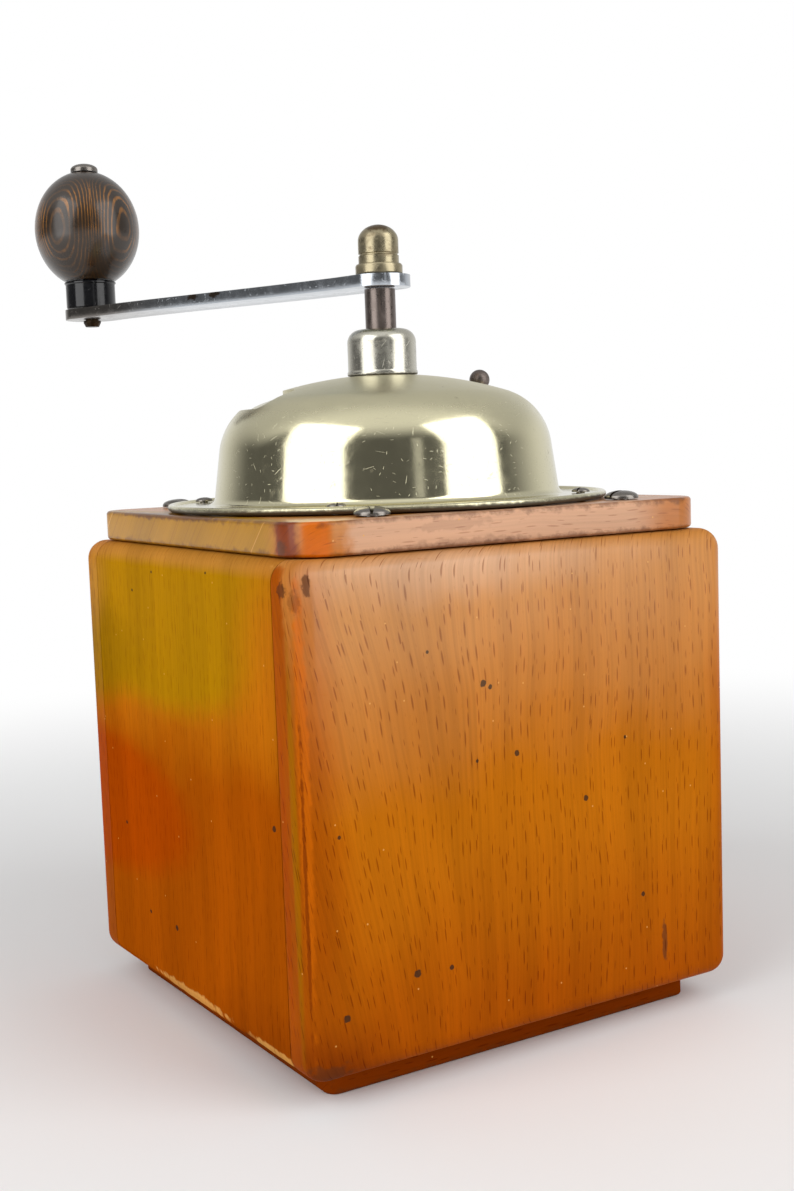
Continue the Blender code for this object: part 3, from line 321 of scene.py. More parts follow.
def fill_grain(weave, entry):
    """Beech with its grain along Z, on any upright face: flecks, fine flecks, lines and figure."""
    x, y, z = weave.split(entry["Position"])
    drift = weave.less(weave.noise(entry["Position"], 30, 1), 0.5)
    across = weave.less(x, y)
    up = weave.less(z, grain_middle)
    across = weave.less(across, weave.times(up, entry["Lean"]))
    across = weave.plus(across, weave.times(drift, entry["Wobble"]))
    place = weave.join(across, z, 0)
    away, pick = weave.dashes(place, fleck_cell, (0.085, 0.40))
    away = weave.math("DIVIDE", away, weave.step(pick, 0, 1, 0.45, 1.25))
    flecks = weave.step(away, 0.45, 1.0, 1, 0)
    away, pick = weave.dashes(place, fine_fleck_cell, (0.06, 0.26))
    small = weave.times(weave.step(away, 0.3, 1.0, 1, 0), weave.step(pick, 0.3, 0.9))
    lines = weave.noise(weave.stretch(place, (1300, 16, 1)), 1, 3, 0.6)
    figure = weave.noise(weave.stretch(place, (75, 9, 1)), 1, 2, 0.5)
    return {"Flecks": flecks, "Fine": small, "Lines": lines, "Figure": figure}


def fill_blot(weave, entry):
    """A soft patch with a ragged edge about a centre."""
    offset = weave.vector("SUBTRACT", entry["Position"], entry["Centre"])
    away = weave.vector("LENGTH", weave.vector("DIVIDE", offset, entry["Reach"]))
    ragged = weave.less(weave.noise(entry["Position"], entry["Fineness"], 3), 0.5)
    away = weave.plus(away, weave.times(ragged, entry["Raggedness"]))
    inside = weave.less(1, entry["Softness"])
    return {"Mask": weave.step(away, inside, 1, 1, 0)}


def fill_edges(weave, entry):
    """How near a point of a boxy piece is to that box's edges."""
    offset = weave.vector("ABSOLUTE", weave.vector("SUBTRACT", entry["Position"], entry["Centre"]))
    x, y, z = weave.split(weave.vector("SUBTRACT", entry["Half"], offset))
    near = weave.math("MINIMUM", weave.math("MAXIMUM", x, y), weave.math("MAXIMUM", y, z))
    near = weave.math("MINIMUM", near, weave.math("MAXIMUM", x, z))
    ragged = weave.less(weave.noise(entry["Position"], entry["Fineness"], 4, 0.65), 0.5)
    near = weave.plus(near, weave.times(ragged, entry["Raggedness"]))
    return {"Mask": weave.step(near, 0, entry["Width"], 1, 0)}


def fill_scratches(weave, entry):
    """Short fine scratches at any angle, in two sizes."""
    size = entry["Size"]
    found = None
    for grow, reach, low in ((1.0, (0.012, 0.34), 0.60), (0.4, (0.026, 0.3), 0.68)):
        scaled = weave.times(size, grow)
        spots = weave.vector("DIVIDE", entry["Place"], weave.join(scaled, scaled, 1))
        away, pick = weave.dashes(spots, (1, 1), reach, 2 * pi)
        mark = weave.times(weave.step(away, 0.5, 1.0, 1, 0), weave.step(pick, low, low + 0.1))
        found = mark if found is None else weave.math("MAXIMUM", found, mark)
    return {"Mask": weave.times(found, entry["Amount"])}


def fill_speckle(weave, entry):
    """Scattered small round specks."""
    spots = weave.vector("DIVIDE", entry["Place"], weave.join(entry["Size"], entry["Size"], 1))
    away, pick = weave.dashes(spots, (1, 1), (0.035, 0.035))
    away = weave.math("DIVIDE", away, weave.step(pick, 0, 1, 0.3, 1))
    some = weave.math("GREATER_THAN", pick, weave.less(1, entry["Share"]))
    return {"Mask": weave.times(weave.step(away, 0.5, 1, 1, 0), some)}


def fill_unrolled(weave, entry):
    """A flat place on a turned piece: the way round, and the way down its outline."""
    x, y, z = weave.split(entry["Position"])
    reach = weave.vector("LENGTH", weave.join(x, y, 0))
    around = weave.times(weave.math("ARCTAN2", y, x), entry["Radius"])
    return {"Place": weave.join(around, weave.less(z, reach), 0)}


def fill_tarnish(weave, entry):
    """Cloudy wear, from none to full."""
    cloud = weave.noise(weave.stretch(entry["Position"], entry["Stretch"]), entry["Fineness"], 5, 0.62, 0.4)
    return {"Mask": weave.step(cloud, entry["Low"], entry["High"])}


def make_effects():
    """The node groups that the finishes share."""
    place = ("Position", "Vector", None)
    flat = ("Place", "Vector", None)
    effect("Beech grain", (place, ("Wobble", "Float", 0.004), ("Lean", "Float", 0.0)),
           (("Flecks", "Float"), ("Fine", "Float"), ("Lines", "Float"), ("Figure", "Float")), fill_grain)
    effect("Blot", (place, ("Centre", "Vector", None), ("Reach", "Vector", (0.01, 0.01, 0.01)),
                    ("Softness", "Float", 0.6), ("Raggedness", "Float", 0.4), ("Fineness", "Float", 220.0)),
           (("Mask", "Float"),), fill_blot)
    effect("Edge wear", (place, ("Centre", "Vector", None), ("Half", "Vector", (0.06, 0.06, 0.06)),
                         ("Width", "Float", 0.002), ("Raggedness", "Float", 0.002),
                         ("Fineness", "Float", 300.0)),
           (("Mask", "Float"),), fill_edges)
    effect("Scratches", (flat, ("Size", "Float", 0.006), ("Amount", "Float", 1.0)),
           (("Mask", "Float"),), fill_scratches)
    effect("Speckle", (flat, ("Size", "Float", 0.004), ("Share", "Float", 0.3)),
           (("Mask", "Float"),), fill_speckle)
    effect("Unrolled", (place, ("Radius", "Float", 0.04)), (("Place", "Vector"),), fill_unrolled)
    effect("Tarnish", (place, ("Stretch", "Vector", (1.0, 1.0, 1.0)), ("Fineness", "Float", 120.0),
                       ("Low", "Float", 0.4), ("High", "Float", 0.7)),
           (("Mask", "Float"),), fill_tarnish)


def fresh_finish(name):
    """An empty material with its shader, and a weaver for its tree."""
    finish = bpy.data.materials.new(name)
    finish.use_nodes = True
    return finish, finish.node_tree.nodes["Principled BSDF"], Weaver(finish.node_tree)


def bumped(weave, shader, height, distance, strength=1.0):
    """Feeds a height to the shader's normal."""
    bump = weave.add("Bump", {"Strength": strength, "Distance": distance, "Height": height})
    weave.feed(shader.inputs["Normal"], bump.outputs[0])


def patched(weave, place, tint, patches):
    """Lays soft or sharp patches over a colour: (colour, strength, centre, reach, softness, raggedness)."""
    for patch_colour, strength, centre, reach, softness, ragged in patches:
        fineness = 60 if softness > 0.5 else max(420, 3 / max(reach))
        mask = weave.group("Blot", {"Position": place, "Centre": centre, "Reach": reach, "Softness": softness,
                                    "Raggedness": ragged, "Fineness": fineness})["Mask"]
        tint = weave.mix(weave.times(mask, strength), tint, patch_colour)
    return tint


grain_turns = {"X": (0, pi / 2, 0), "Y": (pi / 2, 0, 0), "Z": (0, 0, 0)}


def beech(name, along, tones, patches=(), dents=(), lean=None, edge=None, gloss=(0.12, 0.12), wear="stain",
          shift=0.0, stripes=0.10, flecks=0.7, shine=0.02, coat_from=None):
    """Varnished beech with its grain along an axis. Tones are (height, colour) pairs, from the bottom up.

    Gloss is the coat's weight low down and high up, and coat_from the y where it begins.
    """
    colours = bpy.context.scene.mill_colours
    finish, shader, weave = fresh_finish(name)
    place = weave.place()
    grain_place = weave.add("Mapping", {"Vector": place, "Rotation": grain_turns[along],
                                        "Location": (shift, 0, 0)}).outputs[0]
    tilt = 0.0
    if lean:
        tilt = weave.step(weave.split(place)[0], lean[0], lean[1], 0, lean[2])
    grain = weave.group("Beech grain", {"Position": grain_place, "Lean": tilt})
    height = weave.split(place)[2]
    wave = weave.times(weave.less(weave.noise(place, 45, 2), 0.5), 0.02)
    height = weave.plus(height, wave)
    tint = tones[0][1]
    for (low, _), (high, tone) in zip(tones, tones[1:]):
        tint = weave.mix(weave.step(height, low, high), tint, tone)
    tint = patched(weave, place, tint, patches)
    figure = weave.step(grain["Figure"], 0.3, 0.72, 0.90, 1.09)
    tint = weave.mix(1, tint, weave.join(figure, figure, figure), "MULTIPLY")
    lines = weave.step(grain["Lines"], 0.36, 0.70, 1 + stripes / 2, 1 - stripes)
    tint = weave.mix(1, tint, weave.join(lines, lines, lines), "MULTIPLY")
    mark = weave.times(grain["Flecks"], flecks)
    mark = weave.math("MAXIMUM", mark, weave.times(grain["Fine"], flecks * 0.4))
    tint = weave.mix(mark, tint, weave.mix(1, tint, colours.fleck, "MULTIPLY"))
    sunk = weave.times(mark, -0.6)
    for centre, size in dents:
        dent = weave.group("Blot", {"Position": place, "Centre": centre,
                                    "Reach": (size * 0.75, size, size * 0.8),
                                    "Softness": 0.3, "Raggedness": 1.0, "Fineness": 900})["Mask"]
        tint = weave.mix(weave.times(dent, 0.85), tint, colours.soot_and_shade)
        sunk = weave.less(sunk, weave.times(dent, 4))
    x, y, z = weave.split(grain_place)
    flat = weave.join(weave.less(x, y), z, 0)
    specks = weave.group("Speckle", {"Place": flat, "Size": speck_cell, "Share": 0.2})["Mask"]
    tint = weave.mix(weave.times(specks, 0.75), tint, colours.bare)
    if edge:
        low, high = edge
        worn = weave.group("Edge wear", {"Position": place, "Centre": (low + high) / 2,
                                         "Half": (high - low) / 2, "Width": 0.0014,
                                         "Raggedness": 0.0042, "Fineness": 330})["Mask"]
        tint = weave.mix(weave.times(worn, 0.6), tint, getattr(colours, wear))
    weave.feed(shader.inputs["Base Color"], tint)
    scratch = weave.group("Scratches", {"Place": flat, "Size": wood_scratch_cell, "Amount": 0.5})["Mask"]
    rough = weave.step(weave.noise(place, 160, 3), 0.3, 0.7, 0.36, 0.46)
    weave.feed(shader.inputs["Roughness"], weave.plus(rough, weave.times(scratch, 0.2)))
    shader.inputs["Specular IOR Level"].default_value = shine
    shader.inputs["Coat Roughness"].default_value = 0.22
    if gloss[0] == gloss[1]:
        shader.inputs["Coat Weight"].default_value = gloss[0]
    else:
        coat = weave.step(height, 0.06, 0.115, *gloss)
        if coat_from:
            coat = weave.times(coat, weave.step(weave.split(place)[1], coat_from - 0.002, coat_from))
        weave.feed(shader.inputs["Coat Weight"], coat)
    ridges = weave.plus(sunk, weave.times(grain["Lines"], 0.3))
    bumped(weave, shader, weave.less(ridges, scratch), 0.00005, 0.6)
    return finish


def plated(name, tint, rough, stain, marks, radius=0.006, foot=None, satin=None, streak=(1, 1, 1),
           turned_on=True, patches=()):
    """Shiny metal with scratches, specks, cloudy tarnish, painted shade at its foot and a satin upper part.
    """
    colours = bpy.context.scene.mill_colours
    finish, shader, weave = fresh_finish(name)
    place = weave.place()
    if turned_on:
        flat = weave.group("Unrolled", {"Position": place, "Radius": radius})["Place"]
    else:
        x, y, z = weave.split(place)
        flat = weave.join(weave.less(x, y), z, 0)
    cloud = weave.group("Tarnish", {"Position": place, "Stretch": streak, "Fineness": 230,
                                    "Low": 0.62 - stain, "High": 0.86 - stain / 2})["Mask"]
    base = weave.mix(weave.times(cloud, 0.75), tint, colours.grime)
    specks = weave.group("Speckle", {"Place": flat, "Size": metal_speck_cell, "Share": marks})["Mask"]
    base = weave.mix(weave.times(specks, 0.6), base, colours.grime)
    wear_and_shade = weave.math("MAXIMUM", weave.times(cloud, 0.7), weave.times(specks, 0.6))
    height = weave.split(place)[2]
    # The foot is painted shade: a dark band at the bottom where the metal meets what it stands on.
    if foot:
        ragged = weave.times(weave.less(weave.noise(place, 520, 4, 0.7), 0.5), 0.0014)
        low = weave.step(weave.plus(height, ragged), foot[0], foot[1], 1, 0)
        if foot[2:]:
            x, y, z = weave.split(place)
            reach = weave.vector("LENGTH", weave.join(x, y, 0))
            low = weave.times(low, weave.step(reach, foot[2] - 0.0003, foot[2]))
        base = weave.mix(weave.times(low, 0.9), base, colours.soot_and_shade)
        wear_and_shade = weave.math("MAXIMUM", wear_and_shade, low)
    base = patched(weave, place, base, patches)
    weave.feed(shader.inputs["Base Color"], base)
    weave.feed(shader.inputs["Metallic"], weave.less(1, weave.times(wear_and_shade, 0.5)))
    scratch = weave.group("Scratches", {"Place": flat, "Size": metal_scratch_cell})["Mask"]
    haze = weave.step(weave.noise(place, 300, 4, 0.7), 0.3, 0.75, rough * 0.8, rough * 1.3)
    if satin:
        haze = weave.plus(haze, weave.step(height, satin[0], satin[1], 0, satin[2]))
    rough_value = weave.plus(haze, weave.times(scratch, 0.35))
    rough_value = weave.math("ADD", rough_value, weave.times(wear_and_shade, 0.3), clamp=True)
    weave.feed(shader.inputs["Roughness"], rough_value)
    pits = weave.plus(weave.times(scratch, 0.8), wear_and_shade)
    pits = weave.plus(pits, weave.times(weave.noise(place, 1500, 2), 0.25))
    bumped(weave, shader, weave.times(pits, -1), 0.00003, 0.5)
    return finish


def stained_knob(name, centre, facing):
    """Dark glossy wood, cut so that its growth rings close into ovals on one side."""
    colours = bpy.context.scene.mill_colours
    finish, shader, weave = fresh_finish(name)
    place = weave.vector("SUBTRACT", weave.place(), centre)
    drift = weave.times(weave.less(weave.noise(weave.stretch(place, (1, 1, 0.45)), 130, 2), 0.5), 0.0026)
    depth = None
    for turn in (facing, facing + radians(79)):
        ahead = weave.vector("DOT_PRODUCT", place, (cos(turn), sin(turn), 0))
        aside = weave.vector("DOT_PRODUCT", place, (-sin(turn), cos(turn), 0))
        bow = weave.times(weave.times(aside, aside), 60)
        layer = weave.less(ahead, bow)
        depth = layer if depth is None else weave.math("SMOOTH_MAX", depth, layer, 0.001)
    depth = weave.plus(depth, drift)
    wave = weave.math("SINE", weave.times(depth, 2 * pi / knob_ring_spacing))
    rings = weave.step(wave, 0.2, 0.95)
    faded = weave.step(weave.noise(place, 110, 3), 0.38, 0.60, 0.2, 1)
    fine = weave.noise(weave.stretch(place, (1500, 1500, 60)), 1, 3)
    z = weave.split(place)[2]
    lower = weave.step(z, -0.013, -0.004, 0.15, 1)
    upper = weave.step(z, 0.006, 0.014, 1, 0.12)
    show = weave.times(weave.times(rings, faded), weave.times(lower, upper))
    show = weave.times(show, weave.step(fine, 0.3, 0.7, 0.45, 1))
    weave.feed(shader.inputs["Base Color"], weave.mix(show, colours.ebony, colours.ring))
    flat = weave.group("Unrolled", {"Position": place, "Radius": 0.015})["Place"]
    scratch = weave.group("Scratches", {"Place": flat, "Size": 0.006, "Amount": 0.5})["Mask"]
    rough = weave.plus(weave.step(weave.noise(place, 260, 3), 0.3, 0.7, 0.26, 0.34),
                       weave.times(scratch, 0.2))
    weave.feed(shader.inputs["Roughness"], rough)
    shader.inputs["Specular IOR Level"].default_value = 0.35
    shader.inputs["Coat Weight"].default_value = 0.55
    shader.inputs["Coat Roughness"].default_value = 0.2
    bumped(weave, shader, weave.less(weave.times(fine, 0.3), scratch), 0.00004, 0.5)
    return finish


def enamelled(name, tint, centre):
    """Glossy black enamel, lightly scratched."""
    finish, shader, weave = fresh_finish(name)
    place = weave.vector("SUBTRACT", weave.place(), centre)
    flat = weave.group("Unrolled", {"Position": place, "Radius": 0.0073})["Place"]
    scratch = weave.group("Scratches", {"Place": flat, "Size": 0.005})["Mask"]
    dust = weave.noise(place, 500, 4, 0.7)
    pale = weave.mix(weave.times(scratch, 0.2), tint, (0.2, 0.2, 0.2))
    weave.feed(shader.inputs["Base Color"], pale)
    weave.feed(shader.inputs["Roughness"], weave.plus(weave.step(dust, 0.35, 0.75, 0.12, 0.22),
                                                      weave.times(scratch, 0.3)))
    bumped(weave, shader, scratch, 0.00002, 0.4)
    return finish


def cast(name, tint, rough):
    """Rough cast or forged metal for the works inside."""
    finish, shader, weave = fresh_finish(name)
    place = weave.place()
    lumps = weave.noise(place, 900, 4, 0.6)
    wear = weave.step(weave.noise(place, 150, 3), 0.35, 0.7, 0.7, 1.3)
    weave.feed(shader.inputs["Base Color"], weave.mix(1, tint, weave.join(wear, wear, wear), "MULTIPLY"))
    shader.inputs["Metallic"].default_value = 0.85
    weave.feed(shader.inputs["Roughness"], weave.step(lumps, 0.3, 0.7, rough * 0.85, rough * 1.15))
    bumped(weave, shader, lumps, 0.0001, 0.5)
    return finish


def make_piece(name, shape, finish, move=None):
    """A named object of a shape, smooth but for its sharp edges."""
    bmesh.ops.recalc_face_normals(shape, faces=shape.faces)
    if move:
        shape.transform(move)
    mesh = bpy.data.meshes.new(name)
    shape.to_mesh(mesh)
    shape.free()
    mesh.shade_smooth()
    mesh.set_sharp_from_angle(angle=smooth_limit)
    if finish:
        mesh.materials.append(finish)
    piece = bpy.data.objects.new(name, mesh)
    bpy.context.scene.collection.objects.link(piece)
    return piece


def cut(piece, shape, operation="DIFFERENCE", finish=None):
    """Cuts or trims a piece by a shape, at once. A finish goes to the faces that the cut lays bare."""
    tool = make_piece(piece.name + "_tool", shape, finish)
    modifier = piece.modifiers.new("cut", "BOOLEAN")
    modifier.operation = operation
    modifier.solver = "EXACT"
    modifier.material_mode = "TRANSFER" if finish else "INDEX"
    modifier.object = tool
    settle(piece)
    bpy.data.objects.remove(tool)


def settle(piece):
    """Applies a piece's modifiers to its mesh."""
    bpy.context.view_layer.update()
    graph = bpy.context.evaluated_depsgraph_get()
    mesh = bpy.data.meshes.new_from_object(piece.evaluated_get(graph))
    piece.modifiers.clear()
    piece.data = mesh
    mesh.shade_smooth()
    mesh.set_sharp_from_angle(angle=smooth_limit)


def bevelled(piece, width, steps=2, limit=radians(50)):
    """Rounds a piece's sharp edges a little."""
    modifier = piece.modifiers.new("edge", "BEVEL")
    modifier.width = width
    modifier.segments = steps
    modifier.limit_method = "ANGLE"
    modifier.angle_limit = limit
    modifier.harden_normals = False
    settle(piece)


def dress(piece, node):
    """Lets a piece stand for a node, on that node's body, and hides the node."""
    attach(piece, BODY_OF[node])
    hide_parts(node)
    return piece


def repaint(finish, *nodes):
    """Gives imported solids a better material."""
    for name in nodes:
        for holder in frame["nodes"][name].material_slots:
            holder.material = finish


def arc(centre, radius, start, end, steps):
    """Points along an arc, both ends included."""
    turns = [start + (end - start) * step / steps for step in range(steps + 1)]
    return [(centre[0] + radius * cos(turn), centre[1] + radius * sin(turn)) for turn in turns]


def joined(*stretches):
    """One line through several stretches, with shared ends kept once."""
    line = []
    for stretch in stretches:
        for point in stretch:
            if not line or hypot(point[0] - line[-1][0], point[1] - line[-1][1]) > weld_distance:
                line.append(point)
    return line


def turned(outline, steps=turn_steps):
    """Spins a closed outline of (radius, height) points round the Z axis."""
    shape = bmesh.new()
    points = [shape.verts.new((radius, 0, height)) for radius, height in outline]
    edges = [shape.edges.new((here, there)) for here, there in zip(points, points[1:] + points[:1])
             if max(here.co.x, there.co.x) > weld_distance]
    bmesh.ops.spin(shape, geom=points + edges, axis=(0, 0, 1), cent=(0, 0, 0), angle=2 * pi,
                   steps=steps, use_merge=True)
    bmesh.ops.remove_doubles(shape, verts=shape.verts, dist=weld_distance)
    return shape


def prism(outline, low, high):
    """Extrudes an outline of (x, y) points from one height to another."""
    shape = bmesh.new()
    face = shape.faces.new([shape.verts.new((x, y, low)) for x, y in outline])
    grown = bmesh.ops.extrude_face_region(shape, geom=[face])
    raised = [item for item in grown["geom"] if isinstance(item, bmesh.types.BMVert)]
    bmesh.ops.translate(shape, verts=raised, vec=(0, 0, high - low))
    return shape


def block(low, high, upright=0.0, edge=0.0, steps=round_steps):
    """A cuboid between two corners, with its uprights and other edges rounded."""
    size = Vector(high) - Vector(low)
    middle = (Vector(high) + Vector(low)) / 2
    shape = bmesh.new()
    bmesh.ops.create_cube(shape, size=1, matrix=Matrix.Translation(middle) @ Matrix.Diagonal((*size, 1)))
    edges = list(shape.edges)
    if upright:
        uprights = [item for item in edges if abs(item.verts[0].co.z - item.verts[1].co.z) > size.z / 2]
        bmesh.ops.bevel(shape, geom=uprights, offset=upright, segments=steps, profile=0.5, affect="EDGES")
        edges = [item for item in shape.edges if abs(item.verts[0].co.z - item.verts[1].co.z) < size.z / 2]
    if edge:
        bmesh.ops.bevel(shape, geom=edges, offset=edge, segments=max(steps // 2, 2), profile=0.5,
                        affect="EDGES")
    return shape


def rod(radius, low, high):
    """The outline of a plain rod."""
    return [(0, low), (radius, low), (radius, high), (0, high)]


class MILL_OT_effects(bpy.types.Operator):
    """Build the shader groups that the finishes share"""
    bl_idname = "mill.effects"
    bl_label = "Effects"

    def execute(self, context):
        make_effects()
        return {"FINISHED"}


class MILL_OT_box(bpy.types.Operator):
    """Build the four walls of the box, with their rebates, in varnished beech"""
    bl_idname = "mill.box"
    bl_label = "Box"

    # Dents of the wide face: shares of its width from the near edge and of its height, and a radius
    wide_dent_shares = ((0.386, 0.732, 0.0012), (0.402, 0.723, 0.0008), (0.459, 0.582, 0.0010),
                        (0.368, 0.579, 0.0006), (0.621, 0.463, 0.0010), (0.223, 0.180, 0.0013),
                        (0.298, 0.176, 0.0009), (0.072, 0.127, 0.0012), (0.761, 0.230, 0.0009),
                        (0.070, 0.479, 0.0006), (0.266, 0.808, 0.0006), (0.722, 0.577, 0.0006))
    # Dents of the narrow face: a place and a radius
    narrow_dents = (((0.06, -0.0087, 0.0241), 0.0010), ((0.06, -0.0249, 0.0243), 0.0007),
                    ((0.06, -0.0382, 0.0450), 0.0007), ((0.06, 0.0466, 0.0603), 0.0010),
                    ((0.06, -0.0135, 0.1122), 0.0005), ((0.06, 0.0177, 0.1138), 0.0005),
                    ((0.06, -0.0263, 0.1070), 0.0006))

    def execute(self, context):
        sizes, colours = context.scene.mill_sizes, context.scene.mill_colours
        low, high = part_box("back_board")
        end_in = low.y
        low = Vector((low.x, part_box("front_board")[0].y, low.z))
        side_in, side_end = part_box("right_side_board")[0].x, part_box("right_side_board")[1].y
        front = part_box("drawer_front")
        reach = high.x + overrun
        # The wide face's tones pale to honey towards the top as painted sheen; its first umber patch darkens
        # the near corner towards the bottom.
        wide = beech("beech_back", "Z",
                     ((0.006, colours.russet), (0.060, colours.amber), (0.118, colours.honey_and_sheen)),
                     patches=self.wide_patches(colours), dents=self.wide_dents(), lean=(0.005, 0.060, 0.24),
                     edge=(low, high), gloss=(0.0, 0.55), wear="russet", flecks=0.85, shine=0.008,
                     coat_from=0.0595)
        left_tones = ((0.006, colours.russet), (0.060, colours.russet), (0.085, colours.amber))
        narrow = beech("beech_right", "Z", left_tones, patches=self.narrow_patches(colours),
                       dents=self.narrow_dents, edge=(low, high), gloss=(0.0, 0.03), wear="bare", shift=0.07,
                       flecks=0.5, shine=0.0)
        plain = beech("beech_box", "Z", left_tones, patches=self.narrow_patches(colours), edge=(low, high),
                      gloss=(0.0, 0.05), wear="russet", shift=0.03, flecks=0.8, shine=0.005)

        for node, finish in (("left_side_board", plain), ("right_side_board", narrow)):
            near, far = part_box(node)[0].x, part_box(node)[1].x
            near, far = (near, reach) if near > 0 else (-reach, far)
            board = make_piece("looks_" + node, block((near, -side_end, low.z - overrun),
                                                      (far, side_end, high.z + overrun)), finish)
            cut(board, block(low, high, 0, sizes.box_edge, 2 * round_steps), "INTERSECT")
            dress(board, node)

        for node, side, finish in (("front_board", -1, plain), ("back_board", 1, wide)):
            edge, step, face = side * reach, side * side_in, side * end_in
            outline = [(-reach, edge), (-reach, step), (-side_end, step), (-side_end, face),
                       (side_end, face), (side_end, step), (reach, step), (reach, edge)]
            board = make_piece("looks_" + node, prism(outline, low.z - overrun, high.z + overrun), finish)
            cut(board, block(low, high, 0, sizes.box_edge, 2 * round_steps), "INTERSECT")
            if side < 0:
                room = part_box("drawer_guide_left")[1].x
                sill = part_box("bottom_board")[1].z
                lintel = front[1].z + sizes.door_gap
                cut(board, block((room, -reach, sill), (-room, overrun - end_in, lintel)))
            dress(board, node)
        return {"FINISHED"}

    def narrow_patches(self, colours):
        """Patches of the narrow face, which run on over the front board's end. The mustard, olive and blush
        patches paint coloured reflections, and the honey patches near the top paint sheen.
        """
        return ((colours.mustard_reflection, 1.0, (0.06, -0.010, 0.101), (0.014, 0.068, 0.0265), 0.35, 0.12),
                (colours.olive_reflection, 0.9, (0.06, -0.066, 0.0900), (0.014, 0.050, 0.0190), 0.45, 0.12),
                (colours.blush_reflection, 0.9, (0.06, -0.066, 0.0500), (0.014, 0.080, 0.0225), 0.30, 0.12),
                (colours.mustard_reflection, 1.0, (0.06, 0.004, 0.116), (0.014, 0.070, 0.018), 0.6, 0.3),
                (colours.honey_and_sheen, 0.5, (0.06, -0.062, 0.108), (0.014, 0.022, 0.020), 0.8, 0.3),
                (colours.honey_and_sheen, 0.6, (0.058, 0.0, 0.1175), (0.02, 0.2, 0.0045), 0.7, 0.3),
                (colours.amber, 0.7, (0.06, 0.050, 0.095), (0.014, 0.030, 0.030), 0.9, 0.4),
                (colours.umber_and_shade, 0.6, (0.06, 0.050, 0.006), (0.014, 0.060, 0.022), 0.9, 0.6),
                (colours.stain, 0.85, (0.0575, 0.040, 0.0080), (0.006, 0.016, 0.0016), 0.4, 1.5),
                (colours.bare, 0.8, (0.0585, -0.002, 0.0092), (0.006, 0.025, 0.0018), 0.4, 1.2),
                (colours.bare, 0.8, (0.0585, 0.0420, 0.0088), (0.006, 0.015, 0.0015), 0.4, 1.2))

    def wide_patches(self, colours):
        """Patches of the wide face and of the near corner. The honey and sheen patches at the top paint
        sheen, and the olive and blush patches on the end strip paint coloured reflections.
        """
        return ((colours.honey_and_sheen, 0.7, (0.052, 0.060, 0.108), (0.05, 0.005, 0.020), 0.9, 0.5),
                (colours.sheen, 0.9, (0.020, 0.060, 0.119), (0.075, 0.005, 0.015), 0.9, 0.5),
                (colours.russet, 1.0, (0.060, 0.051, 0.070), (0.003, 0.006, 0.080), 0.4, 0.3),
                (colours.russet, 0.9, (0.059, 0.060, 0.050), (0.014, 0.02, 0.10), 0.9, 0.5),
                (colours.umber_and_shade, 1.0, (0.056, 0.060, 0.004), (0.026, 0.02, 0.022), 0.9, 0.6),
                (colours.flame, 0.7, (0.0586, 0.0584, 0.072), (0.0018, 0.0018, 0.060), 0.5, 0.9),
                (colours.umber_and_shade, 0.8, (0.0588, 0.0580, 0.050), (0.0006, 0.0006, 0.045), 0.5, 1.4),
                (colours.olive_reflection, 0.5, (0.0600, 0.0557, 0.055), (0.0030, 0.0016, 0.060), 0.6, 0.5),
                (colours.blush_reflection, 0.5, (0.060, 0.0515, 0.050), (0.0030, 0.0018, 0.045), 0.6, 0.5),
                (colours.stain, 0.8, (0.0598, 0.0545, 0.1122), (0.0022, 0.0022, 0.0020), 0.4, 1.3),
                (colours.stain, 0.8, (0.0568, 0.0596, 0.1135), (0.0012, 0.0012, 0.0032), 0.4, 1.3),
                (colours.stain, 0.4, (0.0590, 0.0580, 0.1098), (0.0018, 0.0018, 0.0030), 0.5, 1.3),
                (colours.stain, 0.6, (0.0555, 0.0590, 0.0085), (0.0060, 0.004, 0.0030), 0.4, 1.8),
                (colours.stain, 0.7, (-0.038, 0.060, 0.019), (0.0010, 0.004, 0.0060), 0.4, 1.3),
                (colours.russet, 0.6, (-0.060, 0.060, 0.055), (0.010, 0.02, 0.08), 0.9, 0.6))

    def wide_dents(self):
        """The wide face's dents as places and radii."""
        low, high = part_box("back_board")
        return [((high.x + (low.x - high.x) * across, high.y, low.z + (high.z - low.z) * up), size)
                for across, up, size in self.wide_dent_shares]


